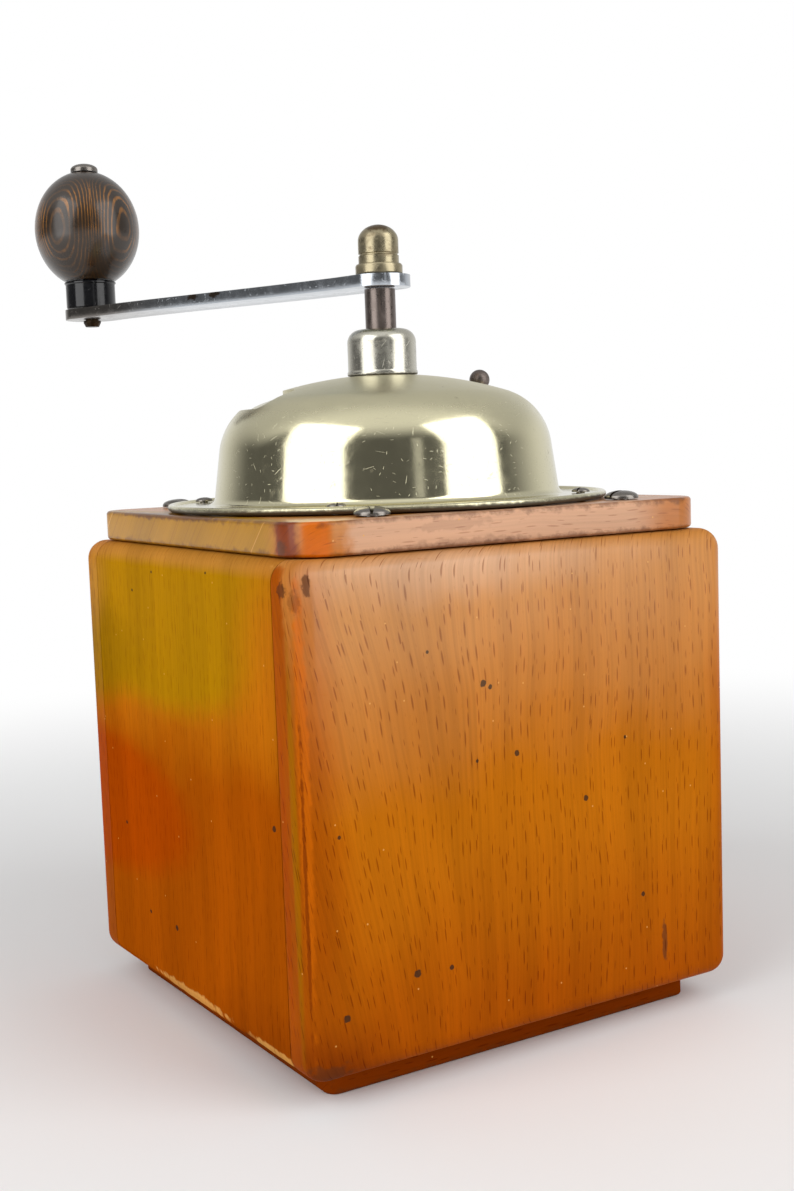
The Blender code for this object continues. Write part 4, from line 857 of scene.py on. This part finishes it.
class MILL_OT_boards(bpy.types.Operator):
    """Build the top board and the plinth, and finish the bottom board"""
    bl_idname = "mill.boards"
    bl_label = "Top board and plinth"

    def execute(self, context):
        sizes, colours = context.scene.mill_sizes, context.scene.mill_colours
        low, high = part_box("top_board")
        top_finish = beech("beech_top", "X", ((0.115, colours.amber), (0.13, colours.honey_and_sheen)),
                           patches=self.top_patches(colours, high.x), edge=(low, high), gloss=(0.6, 0.6),
                           wear="stain", shift=0.11, stripes=0.07, flecks=0.5)
        shape = block(low, high, sizes.top_corner, sizes.top_edge, 2 * round_steps)
        board = make_piece("looks_top_board", shape, top_finish)
        cut(board, turned(rod(sizes.top_bore, low.z - overrun, high.z + overrun), small_turn_steps))
        dress(board, "top_board")

        low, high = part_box("plinth_board")
        # The plinth, and with it the bottom board and the guides, is dark umber all over as painted shade.
        under = beech("beech_plinth", "X", ((0.0, colours.umber_and_shade),), edge=(low, high), gloss=(0, 0),
                      wear="stain", shift=0.19, shine=0.0)
        plinth = block(low, high, sizes.plinth_corner, sizes.small_edge)
        dress(make_piece("looks_plinth_board", plinth, under), "plinth_board")
        repaint(under, "bottom_board", "drawer_guide_left", "drawer_guide_right")
        return {"FINISHED"}

    def top_patches(self, colours, edge):
        """Patches of the top board's rim, which lies at an edge on two sides. The mustard patch paints a
        coloured reflection and the rose patch paints sheen.
        """
        return ((colours.mustard_reflection, 1.0, (edge, -0.006, 0.122), (0.010, 0.058, 0.02), 0.2, 0.1),
                (colours.rose_sheen, 0.9, (-0.0105, edge, 0.122), (0.0575, 0.008, 0.03), 0.08, 0.06),
                (colours.umber_and_shade, 1.0, (edge - 0.0006, 0.0500, 0.121), (0.005, 0.0045, 0.02), 0.5, 0.7),
                (colours.flame, 1.0, (0.0525, 0.0565, 0.121), (0.0050, 0.0040, 0.02), 0.5, 0.3),
                (colours.stain, 0.8, (edge - 0.0004, 0.0490, 0.1205), (0.003, 0.0020, 0.0022), 0.5, 1.2),
                (colours.stain, 0.7, (edge, -0.010, 0.1264), (0.004, 0.040, 0.0018), 0.4, 1.3),
                (colours.stain, 0.3, (0.014, edge, 0.1190), (0.022, 0.004, 0.0018), 0.4, 1.5),
                (colours.stain, 0.2, (0.018, edge, 0.1235), (0.012, 0.004, 0.0016), 0.4, 1.9),
                (colours.amber, 0.8, (-0.048, edge, 0.122), (0.016, 0.010, 0.03), 0.8, 0.4))


class MILL_OT_drawer(bpy.types.Operator):
    """Finish the drawer and turn its knob"""
    bl_idname = "mill.drawer"
    bl_label = "Drawer"

    def execute(self, context):
        sizes, colours = context.scene.mill_sizes, context.scene.mill_colours
        low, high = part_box("drawer_front")
        front = beech("beech_drawer", "X", ((0.008, colours.russet), (0.06, colours.amber)), edge=(low, high),
                      wear="russet", shift=0.23)
        panel = make_piece("looks_drawer_front", block(low, high, 0, sizes.small_edge, 4), front)
        dress(panel, "drawer_front")
        tray = beech("beech_tray", "Y", ((0.008, colours.amber), (0.06, colours.honey_and_sheen)), shift=0.29)
        repaint(tray, "drawer_left_side", "drawer_right_side", "drawer_back", "drawer_bottom")

        low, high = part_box("drawer_knob")
        radius, reach = (high.x - low.x) / 2, high.y - low.y
        crown = reach * 0.35
        profile = arc((0, 0), 1, pi / 2, 0, 16)
        profile = [(radius * x, reach - crown + crown * y) for x, y in profile]
        profile += [(radius * x, reach * y) for x, y in ((0.99, 0.6), (0.9, 0.54), (0.72, 0.45), (0.6, 0.36),
                                                         (0.53, 0.26), (0.53, 0.17), (0.58, 0.08), (0.66, 0))]
        profile += [(0, 0)]
        outward = Matrix.Translation((0, high.y, (low.z + high.z) / 2)) @ Matrix.Rotation(pi / 2, 4, "X")
        knob_finish = beech("beech_knob", "Y", ((0.02, colours.russet), (0.05, colours.amber)), shift=0.31)
        dress(make_piece("looks_drawer_knob", turned(profile, small_turn_steps), knob_finish, outward),
              "drawer_knob")
        return {"FINISHED"}


def dome_values(sizes):
    """Centres and turns of the arcs that make the dome's curve."""
    low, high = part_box("hopper_dome")
    pad = asin(sizes.crown_pad / sizes.crown)
    crown_height = high.z - sizes.crown * cos(pad)
    last = pi / 2 - sizes.draft
    first = asin((sizes.dome - sizes.shoulder * sin(last)) / (sizes.crown - sizes.shoulder))
    inner = sizes.crown - sizes.shoulder
    shoulder = (inner * sin(first), crown_height + inner * cos(first))
    side = (cos(sizes.draft), sin(sizes.draft))
    brim = (sin(sizes.brim_slope), cos(sizes.brim_slope))
    bead = (high.x - sizes.bead, low.z + sizes.bead)
    side_far = side[0] * shoulder[0] + side[1] * shoulder[1] + sizes.shoulder + sizes.foot
    brim_far = brim[0] * bead[0] + brim[1] * bead[1] + sizes.bead - sizes.brim_sink + sizes.foot
    turn = side[0] * brim[1] - side[1] * brim[0]
    foot = ((side_far * brim[1] - brim_far * side[1]) / turn,
            (side[0] * brim_far - brim[0] * side_far) / turn)
    return pad, crown_height, first, last, shoulder, foot, bead, brim


def dome_line(sizes, inset, steps):
    """From the bore over crown and shoulder, at an inset from the dome's face."""
    pad, crown_height, first, last, shoulder, _, _, _ = dome_values(sizes)
    crown = arc((0, crown_height), sizes.crown - inset, pi / 2 - pad, pi / 2 - first, steps)
    bend = arc(shoulder, sizes.shoulder - inset, pi / 2 - first, pi / 2 - last, 2 * steps)
    return joined([(sizes.bush_bore, crown[0][1])], crown, bend)


def bead_turn(sizes, inset):
    """Where the brim, at an inset from its face, meets the rim's bead, as an angle round the bead."""
    return pi / 2 - sizes.brim_slope + acos((sizes.bead - sizes.brim_sink - inset) / sizes.bead)


def dome_skirt(sizes, inset, steps):
    """Down the side, round the foot and out to the rim's bead."""
    foot, bead = dome_values(sizes)[5:7]
    line = arc(foot, sizes.foot + inset, pi + sizes.draft, 1.5 * pi - sizes.brim_slope, steps)
    return line + arc(bead, sizes.bead, bead_turn(sizes, inset), bead_turn(sizes, inset), 1)[:1]


def bent_slot(inner, outer, start, end, corner, steps):
    """The outline of a slot bent round the axis, with rounded corners."""
    far, near = outer - corner, inner + corner
    far_turn, near_turn = asin(corner / far), asin(corner / near)

    def about(radius, turn):
        return (radius * cos(turn), radius * sin(turn))

    line = joined(
        arc((0, 0), outer, start + far_turn, end - far_turn, 4 * steps),
        arc(about(far, end - far_turn), corner, end - far_turn, end + pi / 2, steps),
        arc(about(near, end - near_turn), corner, end + pi / 2, end - near_turn + pi, steps),
        arc((0, 0), inner, end - near_turn, start + near_turn, 4 * steps),
        arc(about(near, start + near_turn), corner, start + near_turn + pi, start + 1.5 * pi, steps),
        arc(about(far, start + far_turn), corner, start - pi / 2, start + far_turn, steps))
    return line[:-1]


class MILL_OT_dome(bpy.types.Operator):
    """Spin the dome from one sheet and cut the opening for the door"""
    bl_idname = "mill.dome"
    bl_label = "Hopper dome"

    def execute(self, context):
        sizes, colours = context.scene.mill_sizes, context.scene.mill_colours
        low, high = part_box("hopper_dome")
        # The foot paints shade on the lower half of the rolled rim, where it meets the board.
        finish = plated("nickel_dome", colours.nickel, 0.13, 0.0, 0.2, radius=sizes.dome,
                        foot=(low.z + 0.0006, low.z + 0.0016, high.x - 1.2 * sizes.bead),
                        satin=(high.z - 0.014, high.z - 0.005, 0.22))
        outer = dome_line(sizes, 0, 12) + dome_skirt(sizes, 0, 8)
        inner = dome_line(sizes, sizes.sheet, 8) + dome_skirt(sizes, sizes.sheet, 5)
        bead = arc(dome_values(sizes)[6], sizes.bead, bead_turn(sizes, 0),
                   bead_turn(sizes, sizes.sheet) - 2 * pi, 20)
        dome = make_piece("looks_hopper_dome", turned(joined(outer, bead, inner[::-1])), finish)
        slot = bent_slot(sizes.slot_inner, sizes.slot_outer, sizes.slot_start, sizes.slot_end,
                         sizes.slot_corner, 12)
        cut(dome, prism(slot, dome_values(sizes)[4][1], high.z + overrun))
        dress(dome, "hopper_dome")
        return {"FINISHED"}


class MILL_OT_door(bpy.types.Operator):
    """Shape the door under the dome and turn its small knob"""
    bl_idname = "mill.door"
    bl_label = "Hopper door"

    def execute(self, context):
        sizes, colours = context.scene.mill_sizes, context.scene.mill_colours
        finish = plated("nickel_door", colours.nickel, 0.2, 0.05, 0.15, radius=sizes.dome)
        face = sizes.sheet + sizes.door_gap
        outline = dome_line(sizes, face, 10) + dome_line(sizes, face + sizes.door_sheet, 6)[::-1]
        door = make_piece("looks_hopper_door", turned(outline), finish)
        first, last = sizes.slot_end + sizes.door_lap, sizes.slot_start - sizes.door_lap + 2 * pi
        waste = arc((0, 0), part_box("hopper_dome")[1].x, first, last, 48)
        waste += arc((0, 0), sizes.door_hub, last, first, 24)
        low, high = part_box("hopper_door")
        cut(door, prism(waste, low.z - overrun, high.z + overrun))
        dress(door, "hopper_door")

        shoulder = dome_values(sizes)[4]
        reach, bend = (sizes.slot_inner + sizes.slot_outer) / 2, sizes.shoulder - face
        lean = asin((reach - shoulder[0]) / bend)
        seat = (reach + seam * sin(lean), 0, shoulder[1] + (bend + seam) * cos(lean))
        stand = (Matrix.Rotation(sizes.door_knob_turn, 4, "Z") @ Matrix.Translation(seat)
                 @ Matrix.Rotation(lean, 4, "Y"))
        radius, rivet, under = sizes.door_knob, sizes.door_rivet, -sizes.door_sheet - 3 * seam
        profile = arc((0, sizes.door_knob_height - radius), radius, pi / 2, radians(-44), 24)
        profile += [(sizes.door_knob_neck, 0), (rivet, 0), (rivet, under), (1.6 * rivet, under),
                    (1.6 * rivet, under - rivet / 2), (0, under - rivet / 2)]
        knob = plated("worn_knob", colours.rusty, 0.4, 0.1, 0.3, turned_on=False)
        dress(make_piece("looks_door_knob", turned(profile, small_turn_steps), knob, stand), "door_knob")
        return {"FINISHED"}


class MILL_OT_bearing(bpy.types.Operator):
    """Turn the bell-shaped bearing cap and finish the bush"""
    bl_idname = "mill.bearing"
    bl_label = "Bearing cap"

    def execute(self, context):
        sizes, colours = context.scene.mill_sizes, context.scene.mill_colours
        low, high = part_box("bearing_cap")
        radius = high.x - sizes.cap_lip
        lip_top = low.z + sizes.cap_lip_height
        lip = sizes.cap_lip
        profile = [(sizes.bush_bore, low.z), (high.x - lip / 2, low.z), (high.x, low.z + lip / 2),
                   (high.x, lip_top - lip), (radius + lip / 3, lip_top), (radius, lip_top + lip)]
        profile += arc((radius - sizes.cap_round, high.z - sizes.cap_round), sizes.cap_round, 0, pi / 2, 20)
        bush_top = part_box("bearing_bush")[1].z + seam
        profile += [(sizes.shaft_bore, high.z), (sizes.shaft_bore, bush_top), (sizes.bush_bore, bush_top)]
        # The foot paints shade round the cap's bottom edge, where it sits on the dome.
        finish = plated("nickel_cap", colours.silver, 0.25, 0.03, 0.2, radius=radius,
                        foot=(low.z - 0.0002, low.z + 0.0006))
        dress(make_piece("looks_bearing_cap", turned(profile), finish), "bearing_cap")
        repaint(cast("bronze", colours.brass, 0.35), "bearing_bush", "adjusting_screw")
        return {"FINISHED"}


class MILL_OT_crank(bpy.types.Operator):
    """Shape the shaft, the arm and the cap nut"""
    bl_idname = "mill.crank"
    bl_label = "Crank"

    def execute(self, context):
        sizes, colours = context.scene.mill_sizes, context.scene.mill_colours
        low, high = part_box("shaft")
        radius = high.y
        arm_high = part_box("crank_arm")[1]
        nut_low, nut_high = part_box("cap_nut")
        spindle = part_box("knob_spindle")
        knob_place = (spindle[0] + spindle[1]) / 2
        self.reach = hypot(knob_place.x, knob_place.y)
        turn = Matrix.Rotation(atan2(knob_place.y, knob_place.x), 4, "Z")

        shoulder = nut_low.z - sizes.arm_thickness - 2 * seam
        profile = [(0, low.z), (radius, low.z), (radius, shoulder), (0, shoulder)]
        worn = plated("worn_shaft", colours.rusty, 0.3, 0.10, 0.2, radius=radius, streak=(1, 1, 0.12))
        shaft = make_piece("looks_shaft", turned(profile, small_turn_steps), worn)
        dress(shaft, "shaft")

        hub_top = nut_low.z - seam
        rise = arm_high.z - hub_top
        half, reach = sizes.arm_width / 2, self.reach

        def spot(tint, strength, ahead, aside, size, softness, ragged):
            return tint, strength, turn @ Vector((ahead, aside, hub_top)), size, softness, ragged

        spots = [spot(colours.grime, 0.9, reach * part, half, (0.0026, 0.0026, 0.0013), 0.4, 1.2)
                 for part in (0.461, 0.538)]
        spots.append(spot(colours.brass, 0.8, reach + 0.004, 0.6 * half, (0.0085, 0.0085, 0.004), 0.7, 0.5))
        spots.append(spot(colours.dull, 1.0, 0.93 * reach, half, (0.045, 0.045, 0.008), 0.9, 0.4))
        arm_finish = plated("bright_arm", colours.bright, 0.2, 0.0, 0.3, streak=(0.6, 0.6, 1),
                            turned_on=False, patches=spots)
        arm = make_piece("looks_crank_arm", self.arm_shape(sizes, hub_top, rise), arm_finish, turn)
        bevelled(arm, sizes.arm_edge, 3)
        dress(arm, "crank_arm")

        body, collar = sizes.nut, nut_high.x
        shoulder, groove = nut_low.z + sizes.nut_collar, nut_low.z + sizes.nut_groove
        chamfer = sizes.groove_width / 2
        profile = [(0, nut_low.z), (collar - chamfer, nut_low.z), (collar, nut_low.z + chamfer),
                   (collar, shoulder - 2 * chamfer), (collar - chamfer, shoulder - chamfer / 2),
                   (body, shoulder)]
        profile += [(body + sizes.groove_depth * x, groove + chamfer * (1 + y))
                    for x, y in arc((0, 0), 1, -pi / 2, -1.5 * pi, 8)]
        crown = body * 0.8
        profile += [(body * x, nut_high.z - crown + crown * y) for x, y in arc((0, 0), 1, 0, pi / 2, 20)]
        rust = ((colours.grime, 0.85, (0.0015, 0.0026, nut_high.z), (0.0045, 0.0045, 0.0026), 0.4, 1.1),)
        # The foot paints shade round the nut's bottom edge, where it sits on the arm.
        nut_finish = plated("worn_nut", colours.brass, 0.28, 0.14, 0.5, radius=body, streak=(1, 1, 1.6),
                            patches=rust, foot=(nut_low.z - 0.0004, nut_low.z + 0.0004))
        dress(make_piece("looks_cap_nut", turned(profile, small_turn_steps), nut_finish), "cap_nut")
        return {"FINISHED"}

    def arm_shape(self, sizes, hub_top, rise):
        """A flat bar with round ends, a little higher at the knob's end."""
        half, end, reach = sizes.arm_width / 2, sizes.arm_end, self.reach
        near = [(x, width) for x, width in arc((0, 0), end, pi, pi / 2, 20)[1:]]
        far = [(reach - x, width) for x, width in near[::-1]]
        run = reach - 2 * end
        middle = [(end + run * step / 30, half) for step in range(31)]
        shape = bmesh.new()

        def levels(x):
            climb = min(max((x - end) / run, 0), 1)
            top = hub_top + rise * climb * climb * (3 - 2 * climb)
            return top - sizes.arm_thickness, top

        rows = []
        for x, width in near + middle + far:
            low, high = levels(x)
            corners = ((x, -width, low), (x, width, low), (x, width, high), (x, -width, high))
            rows.append([shape.verts.new(corner) for corner in corners])
        for here, there in zip(rows, rows[1:]):
            for one, two in ((0, 1), (1, 2), (2, 3), (3, 0)):
                shape.faces.new((here[one], here[two], there[two], there[one]))
        for row, x in ((rows[0], -end), (rows[-1], reach + end)):
            bottom, top = [shape.verts.new((x, 0, level)) for level in levels(x)]
            shape.faces.new((row[0], row[1], bottom))
            shape.faces.new((row[3], row[2], top))
            shape.faces.new((row[0], row[3], top, bottom))
            shape.faces.new((row[1], row[2], top, bottom))
        return shape


class MILL_OT_knob(bpy.types.Operator):
    """Turn the crank's knob, its ferrule and the metal on its spindle"""
    bl_idname = "mill.knob"
    bl_label = "Crank knob"

    rings_facing = radians(35)

    def execute(self, context):
        sizes, colours = context.scene.mill_sizes, context.scene.mill_colours
        low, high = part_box("crank_knob")
        centre = (low + high) / 2
        stand = Matrix.Translation((centre.x, centre.y, 0))
        radius, tall = (high.x - low.x) / 2, high.z - low.z
        waist, cap_radius = tall * 0.47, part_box("knob_cap")[1].x - centre.x
        low_turn, high_turn = acos(0.50), acos(cap_radius / radius)
        below = [(x, low.z + waist * (1 + y / sin(low_turn))) for x, y in arc((0, 0), 1, -low_turn, 0, 16)]
        above = [(x, low.z + waist + (tall - waist) * y / sin(high_turn))
                 for x, y in arc((0, 0), 1, 0, high_turn, 26)]
        profile = [(sizes.spindle_bore, low.z)] + [(radius * x, z) for x, z in below + above[1:]]
        profile += [(sizes.spindle_bore, high.z)]
        wood = stained_knob("stained_knob", centre, self.rings_facing)
        dress(make_piece("looks_crank_knob", turned(profile), wood, stand), "crank_knob")

        low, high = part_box("knob_ferrule")
        lip = (high.x - low.x) / 2
        round_off = lip - sizes.ferrule
        profile = [(sizes.spindle_bore, low.z), (sizes.ferrule - round_off, low.z),
                   (sizes.ferrule, low.z + round_off), (sizes.ferrule, high.z - 3.2 * round_off),
                   (lip, high.z - 2.2 * round_off), (lip, high.z - round_off), (sizes.ferrule, high.z),
                   (sizes.spindle_bore, high.z)]
        black = enamelled("black_enamel", colours.enamel, centre)
        ferrule = make_piece("looks_knob_ferrule", turned(profile, ferrule_turn_steps), black, stand)
        dress(ferrule, "knob_ferrule")

        low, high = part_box("knob_cap")
        radius, tall = (high.x - low.x) / 2, high.z - low.z
        crown = tall * 0.7
        profile = [(sizes.spindle_bore, low.z), (radius, low.z)]
        profile += [(radius * x, high.z - crown + crown * y) for x, y in arc((0, 0), 1, 0, pi / 2, 16)]
        profile += [(0, high.z - crown), (sizes.spindle_bore, high.z - crown)]
        worn = plated("worn_cap", colours.dull, 0.3, 0.08, 0.3, turned_on=False)
        dress(make_piece("looks_knob_cap", turned(profile, small_turn_steps), worn, stand), "knob_cap")
        repaint(plated("rusty_spindle", colours.soot_and_shade, 0.4, 0.2, 0.3, turned_on=False), "knob_spindle")
        return {"FINISHED"}


class MILL_OT_screws(bpy.types.Operator):
    """Make the slotted screws on the top board and the dome's brim, and finish the rest"""
    bl_idname = "mill.screws"
    bl_label = "Screws"

    def execute(self, context):
        colours = context.scene.mill_colours
        self.finish = plated("screw_steel", colours.dull, 0.28, 0.1, 0.3, turned_on=False)
        # The slots' inner faces get a dark finish as painted shade.
        self.grimy = cast("grimy_slot", colours.soot_and_shade, 0.7)
        sizes = context.scene.mill_sizes
        for node in sorted(frame["nodes"]):
            if node.startswith("top_screw"):
                self.replace_screw(node, 0)
            elif node.startswith("flange_screw"):
                self.replace_screw(node, sizes.brim_slope)
            elif "screw" in node and node != "adjusting_screw":
                repaint(self.finish, node)
        return {"FINISHED"}

    def replace_screw(self, node, lean):
        """A screw with a domed, slotted head where the solid's own head is."""
        shank_share = 0.476
        points = [vertex.co for vertex in frame["nodes"][node].data.vertices]
        low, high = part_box(node)
        middle = (low + high) / 2
        out = Vector((middle.x, middle.y, 0)).normalized()
        axis = Vector((out.x * sin(lean), out.y * sin(lean), cos(lean)))
        along = [point.dot(axis) for point in points]
        tip, crown = min(along), max(along)
        centre = sum(points, Vector()) / len(points)
        foot = centre - axis * centre.dot(axis)
        head = max((point - axis * point.dot(axis) - foot).length for point in points)
        wide = [value for point, value in zip(points, along)
                if (point - axis * value - foot).length > head * 0.9]
        seat = min(wide)
        rise = crown - seat
        slot_turn = self.slot_turn(points, axis, foot, crown, rise)
        place = Matrix.Translation(foot + axis * seat) @ axis.to_track_quat("Z", "Y").to_matrix().to_4x4()
        place = place @ Matrix.Rotation(slot_turn, 4, "Z")
        brow = rise * 0.18
        profile = [(0, rise)]
        profile += [(head * x, brow + (rise - brow) * y) for x, y in arc((0, 0), 1, radians(84), 0, 14)]
        profile += [(head, 0), (head * shank_share, 0), (head * shank_share, tip - seat), (0, tip - seat)]
        screw = make_piece("looks_" + node, turned(profile, small_turn_steps), self.finish)
        half = head * 0.055
        slot = block((-2 * head, -half, rise * 0.2), (2 * head, half, 2 * rise))
        for corner in slot.verts:
            if corner.co.z > rise:
                corner.co.y *= 5
        # The slot's faces take the painted shade finish.
        cut(screw, slot, finish=self.grimy)
        screw.data.transform(place)
        dress(screw, node)

    def slot_turn(self, points, axis, foot, crown, rise):
        """Which way the solid's slot runs."""
        base = axis.to_track_quat("Z", "Y").to_matrix()
        best = None
        for point in points:
            height = point.dot(axis)
            flat = base.transposed() @ (point - axis * height - foot)
            if crown - rise * 0.6 < height < crown - rise * 0.5:
                reach = hypot(flat.x, flat.y)
                if best is None or reach > best[0]:
                    best = (reach, atan2(flat.y, flat.x))
        return best[1] if best else 0.0


class MILL_OT_works(bpy.types.Operator):
    """Finish the grinding works inside the mill"""
    bl_idname = "mill.works"
    bl_label = "Grinding works"

    def execute(self, context):
        colours = context.scene.mill_colours
        repaint(cast("grey_iron", colours.iron, 0.55), "burr_housing", "bridge", "burr_cone")
        steel = plated("spring_steel", colours.dull, 0.25, 0.05, 0.2, turned_on=False)
        repaint(steel, "spring_washer", "thrust_ball", "burr_pin", "detent_spring")
        low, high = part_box("shaft_spring")
        coil = self.coil(low, high, context.scene.mill_sizes.spring_wire)
        spring = make_piece("looks_shaft_spring", coil, steel)
        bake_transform(spring)
        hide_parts("shaft_spring")
        return {"FINISHED"}

    def coil(self, low, high, wire):
        """A coil with closed end curls that fills the spring's box."""
        curls, closed, fineness, sides = 8, 0.75, 24, 10
        mean, rise = high.x - wire, high.z - low.z - 2 * wire
        shape = bmesh.new()
        rings = []
        for step in range(curls * fineness + 1):
            curl = step / fineness
            resting = min(curl, closed) + max(curl - curls + closed, 0)
            level = low.z + wire + rise * (curl - resting / 2) / (curls - closed)
            out = Vector((cos(2 * pi * curl), sin(2 * pi * curl), 0))
            rings.append([shape.verts.new(out * (mean + wire * x) + Vector((0, 0, level + wire * y)))
                          for x, y in arc((0, 0), 1, 0, 2 * pi, sides)[:-1]])
        for here, there in zip(rings, rings[1:]):
            for side in range(sides):
                after = (side + 1) % sides
                shape.faces.new((here[side], here[after], there[after], there[side]))
        shape.faces.new(rings[0])
        shape.faces.new(rings[-1])
        return shape


class MILL_OT_stage(bpy.types.Operator):
    """Set up the floor, the soft lamps, the pale surroundings and the camera"""
    bl_idname = "mill.stage"
    bl_label = "Stage"

    camera_place = (0.20583, 0.33515, 0.14326)
    camera_yaw = radians(-121.799)
    camera_pitch = radians(-5.951)
    camera_roll = radians(-1.997)
    camera_lens = 46.379
    lamp_distance = 1.05
    floor_half = 6.0

    def execute(self, context):
        studio = context.scene.mill_studio
        self.add_camera(context)
        self.add_floor(context)
        self.add_lamp(context, "window_left", radians(9), radians(28), 0.78, 1.12, studio.window)
        self.add_lamp(context, "window_right", radians(118.5), radians(28), 0.72, 1.12, studio.window)
        self.add_lamp(context, "window_slit", radians(80), radians(18), 0.10, 0.60, studio.window / 5)
        self.add_world(context, studio)
        context.scene.view_settings.view_transform = "Standard"
        return {"FINISHED"}

    def add_camera(self, context):
        """The camera at the photograph's viewing angle."""
        yaw, pitch, roll = self.camera_yaw, self.camera_pitch, self.camera_roll
        look = Vector((cos(pitch) * cos(yaw), cos(pitch) * sin(yaw), sin(pitch)))
        right = look.cross(Vector((0, 0, 1))).normalized()
        up = right.cross(look)
        across = right * cos(roll) + up * sin(roll)
        above = up * cos(roll) - right * sin(roll)
        data = bpy.data.cameras.new("camera")
        data.lens = self.camera_lens
        data.sensor_width = 36
        data.clip_start = 0.01
        camera = bpy.data.objects.new("camera", data)
        turn = Matrix((across, above, -look)).transposed().to_4x4()
        camera.matrix_world = Matrix.Translation(self.camera_place) @ turn
        context.scene.collection.objects.link(camera)
        context.scene.camera = camera

    def add_floor(self, context):
        """A pale floor that fades to white away from the mill."""
        finish, shader, weave = fresh_finish("pale_floor")
        shader.inputs["Base Color"].default_value = (0.86, 0.86, 0.86, 1)
        shader.inputs["Roughness"].default_value = 0.8
        shader.inputs["Specular IOR Level"].default_value = 0.1
        output = finish.node_tree.nodes["Material Output"]
        glow = weave.add("Emission", {"Color": (1, 1, 1, 1), "Strength": 1})
        away = weave.vector("LENGTH", weave.place())
        far = weave.step(away, 0.16, 0.55)
        path = weave.add("LightPath").outputs
        seen = weave.math("MAXIMUM", path["Is Camera Ray"], path["Is Glossy Ray"])
        blend = weave.add("MixShader", {0: weave.times(far, seen), 1: shader.outputs[0],
                                        2: glow.outputs[0]})
        finish.node_tree.links.new(blend.outputs[0], output.inputs["Surface"])
        shape = bmesh.new()
        bmesh.ops.create_circle(shape, cap_ends=True, segments=64, radius=self.floor_half)
        floor = make_piece("floor", shape, finish)

    def add_lamp(self, context, name, azimuth, height_angle, width, height, radiance):
        """A large soft lamp that looks at the mill."""
        data = bpy.data.lights.new(name, "AREA")
        data.shape = "RECTANGLE"
        data.size = width
        data.size_y = height
        data.energy = radiance * pi * width * height
        lamp = bpy.data.objects.new(name, data)
        out = Vector((cos(height_angle) * cos(azimuth), cos(height_angle) * sin(azimuth), sin(height_angle)))
        lamp.matrix_world = (Matrix.Translation(out * self.lamp_distance)
                             @ out.to_track_quat("Z", "Y").to_matrix().to_4x4())
        lamp.visible_camera = False
        context.scene.collection.objects.link(lamp)

    def add_world(self, context, studio):
        """White to the camera, soft light all round, and a dimmer room for shiny metal to reflect."""
        world = bpy.data.worlds.new("studio")
        world.use_nodes = True
        weave = Weaver(world.node_tree)
        world.node_tree.nodes.clear()
        direction = weave.add("TexCoord").outputs["Generated"]
        toward = Vector((self.camera_place[0], self.camera_place[1], 0)).normalized()
        facing = weave.vector("DOT_PRODUCT", direction, tuple(toward))
        sideways = weave.vector("DOT_PRODUCT", direction, (-0.17 * toward.y, 0.17 * toward.x, 0))
        away = weave.less(sideways, facing)
        level = weave.step(away, 0.05, 0.85, studio.dim, 0.85)
        above = weave.step(facing, -0.3, 0.3, studio.overhead - 0.1, studio.overhead + 0.25)
        lifted = weave.less(weave.split(direction)[2], weave.step(facing, -0.2, 0.3, 0, 0.3))
        level = weave.plus(level, weave.times(weave.step(lifted, 0.15, 0.55), weave.less(above, level)))
        path = weave.add("LightPath").outputs
        mirror = weave.add("Background", {0: weave.join(level, level, level), 1: 1.0})
        soft = weave.add("Background", {0: (1, 1, 1, 1), 1: studio.sky})
        white = weave.add("Background", {0: (1, 1, 1, 1), 1: 1.0})
        first = weave.add("MixShader", {0: path["Is Glossy Ray"], 1: soft.outputs[0], 2: mirror.outputs[0]})
        plain = weave.math("MAXIMUM", path["Is Camera Ray"], path["Is Transmission Ray"])
        second = weave.add("MixShader", {0: plain, 1: first.outputs[0], 2: white.outputs[0]})
        output = weave.add("OutputWorld")
        world.node_tree.links.new(second.outputs[0], output.inputs["Surface"])
        context.scene.world = world


OPERATORS = (MILL_OT_effects, MILL_OT_box, MILL_OT_boards, MILL_OT_drawer, MILL_OT_dome, MILL_OT_door,
             MILL_OT_bearing, MILL_OT_crank, MILL_OT_knob, MILL_OT_screws, MILL_OT_works, MILL_OT_stage)


class MILL_PT_looks(bpy.types.Panel):
    """Lists the mill's operators and its settings"""
    bl_idname = "MILL_PT_looks"
    bl_label = "Coffee mill"
    bl_space_type = "VIEW_3D"
    bl_region_type = "UI"
    bl_category = "Mill"

    def draw(self, context):
        column = self.layout.column()
        for operator in OPERATORS:
            column.operator(operator.bl_idname)
        for group in (context.scene.mill_sizes, context.scene.mill_colours, context.scene.mill_studio):
            for name in group.__annotations__:
                column.prop(group, name)


CLASSES = (MillSizes, MillColours, MillStudio) + OPERATORS + (MILL_PT_looks,)


def register():
    for item in CLASSES:
        bpy.utils.register_class(item)
    bpy.types.Scene.mill_sizes = PointerProperty(type=MillSizes)
    bpy.types.Scene.mill_colours = PointerProperty(type=MillColours)
    bpy.types.Scene.mill_studio = PointerProperty(type=MillStudio)


def unregister():
    del bpy.types.Scene.mill_studio
    del bpy.types.Scene.mill_colours
    del bpy.types.Scene.mill_sizes
    for item in reversed(CLASSES):
        bpy.utils.unregister_class(item)


def main():
    register()
    for operator in OPERATORS:
        group, name = operator.bl_idname.split(".")
        getattr(getattr(bpy.ops, group), name)()


if __name__ == "__main__":
    main()
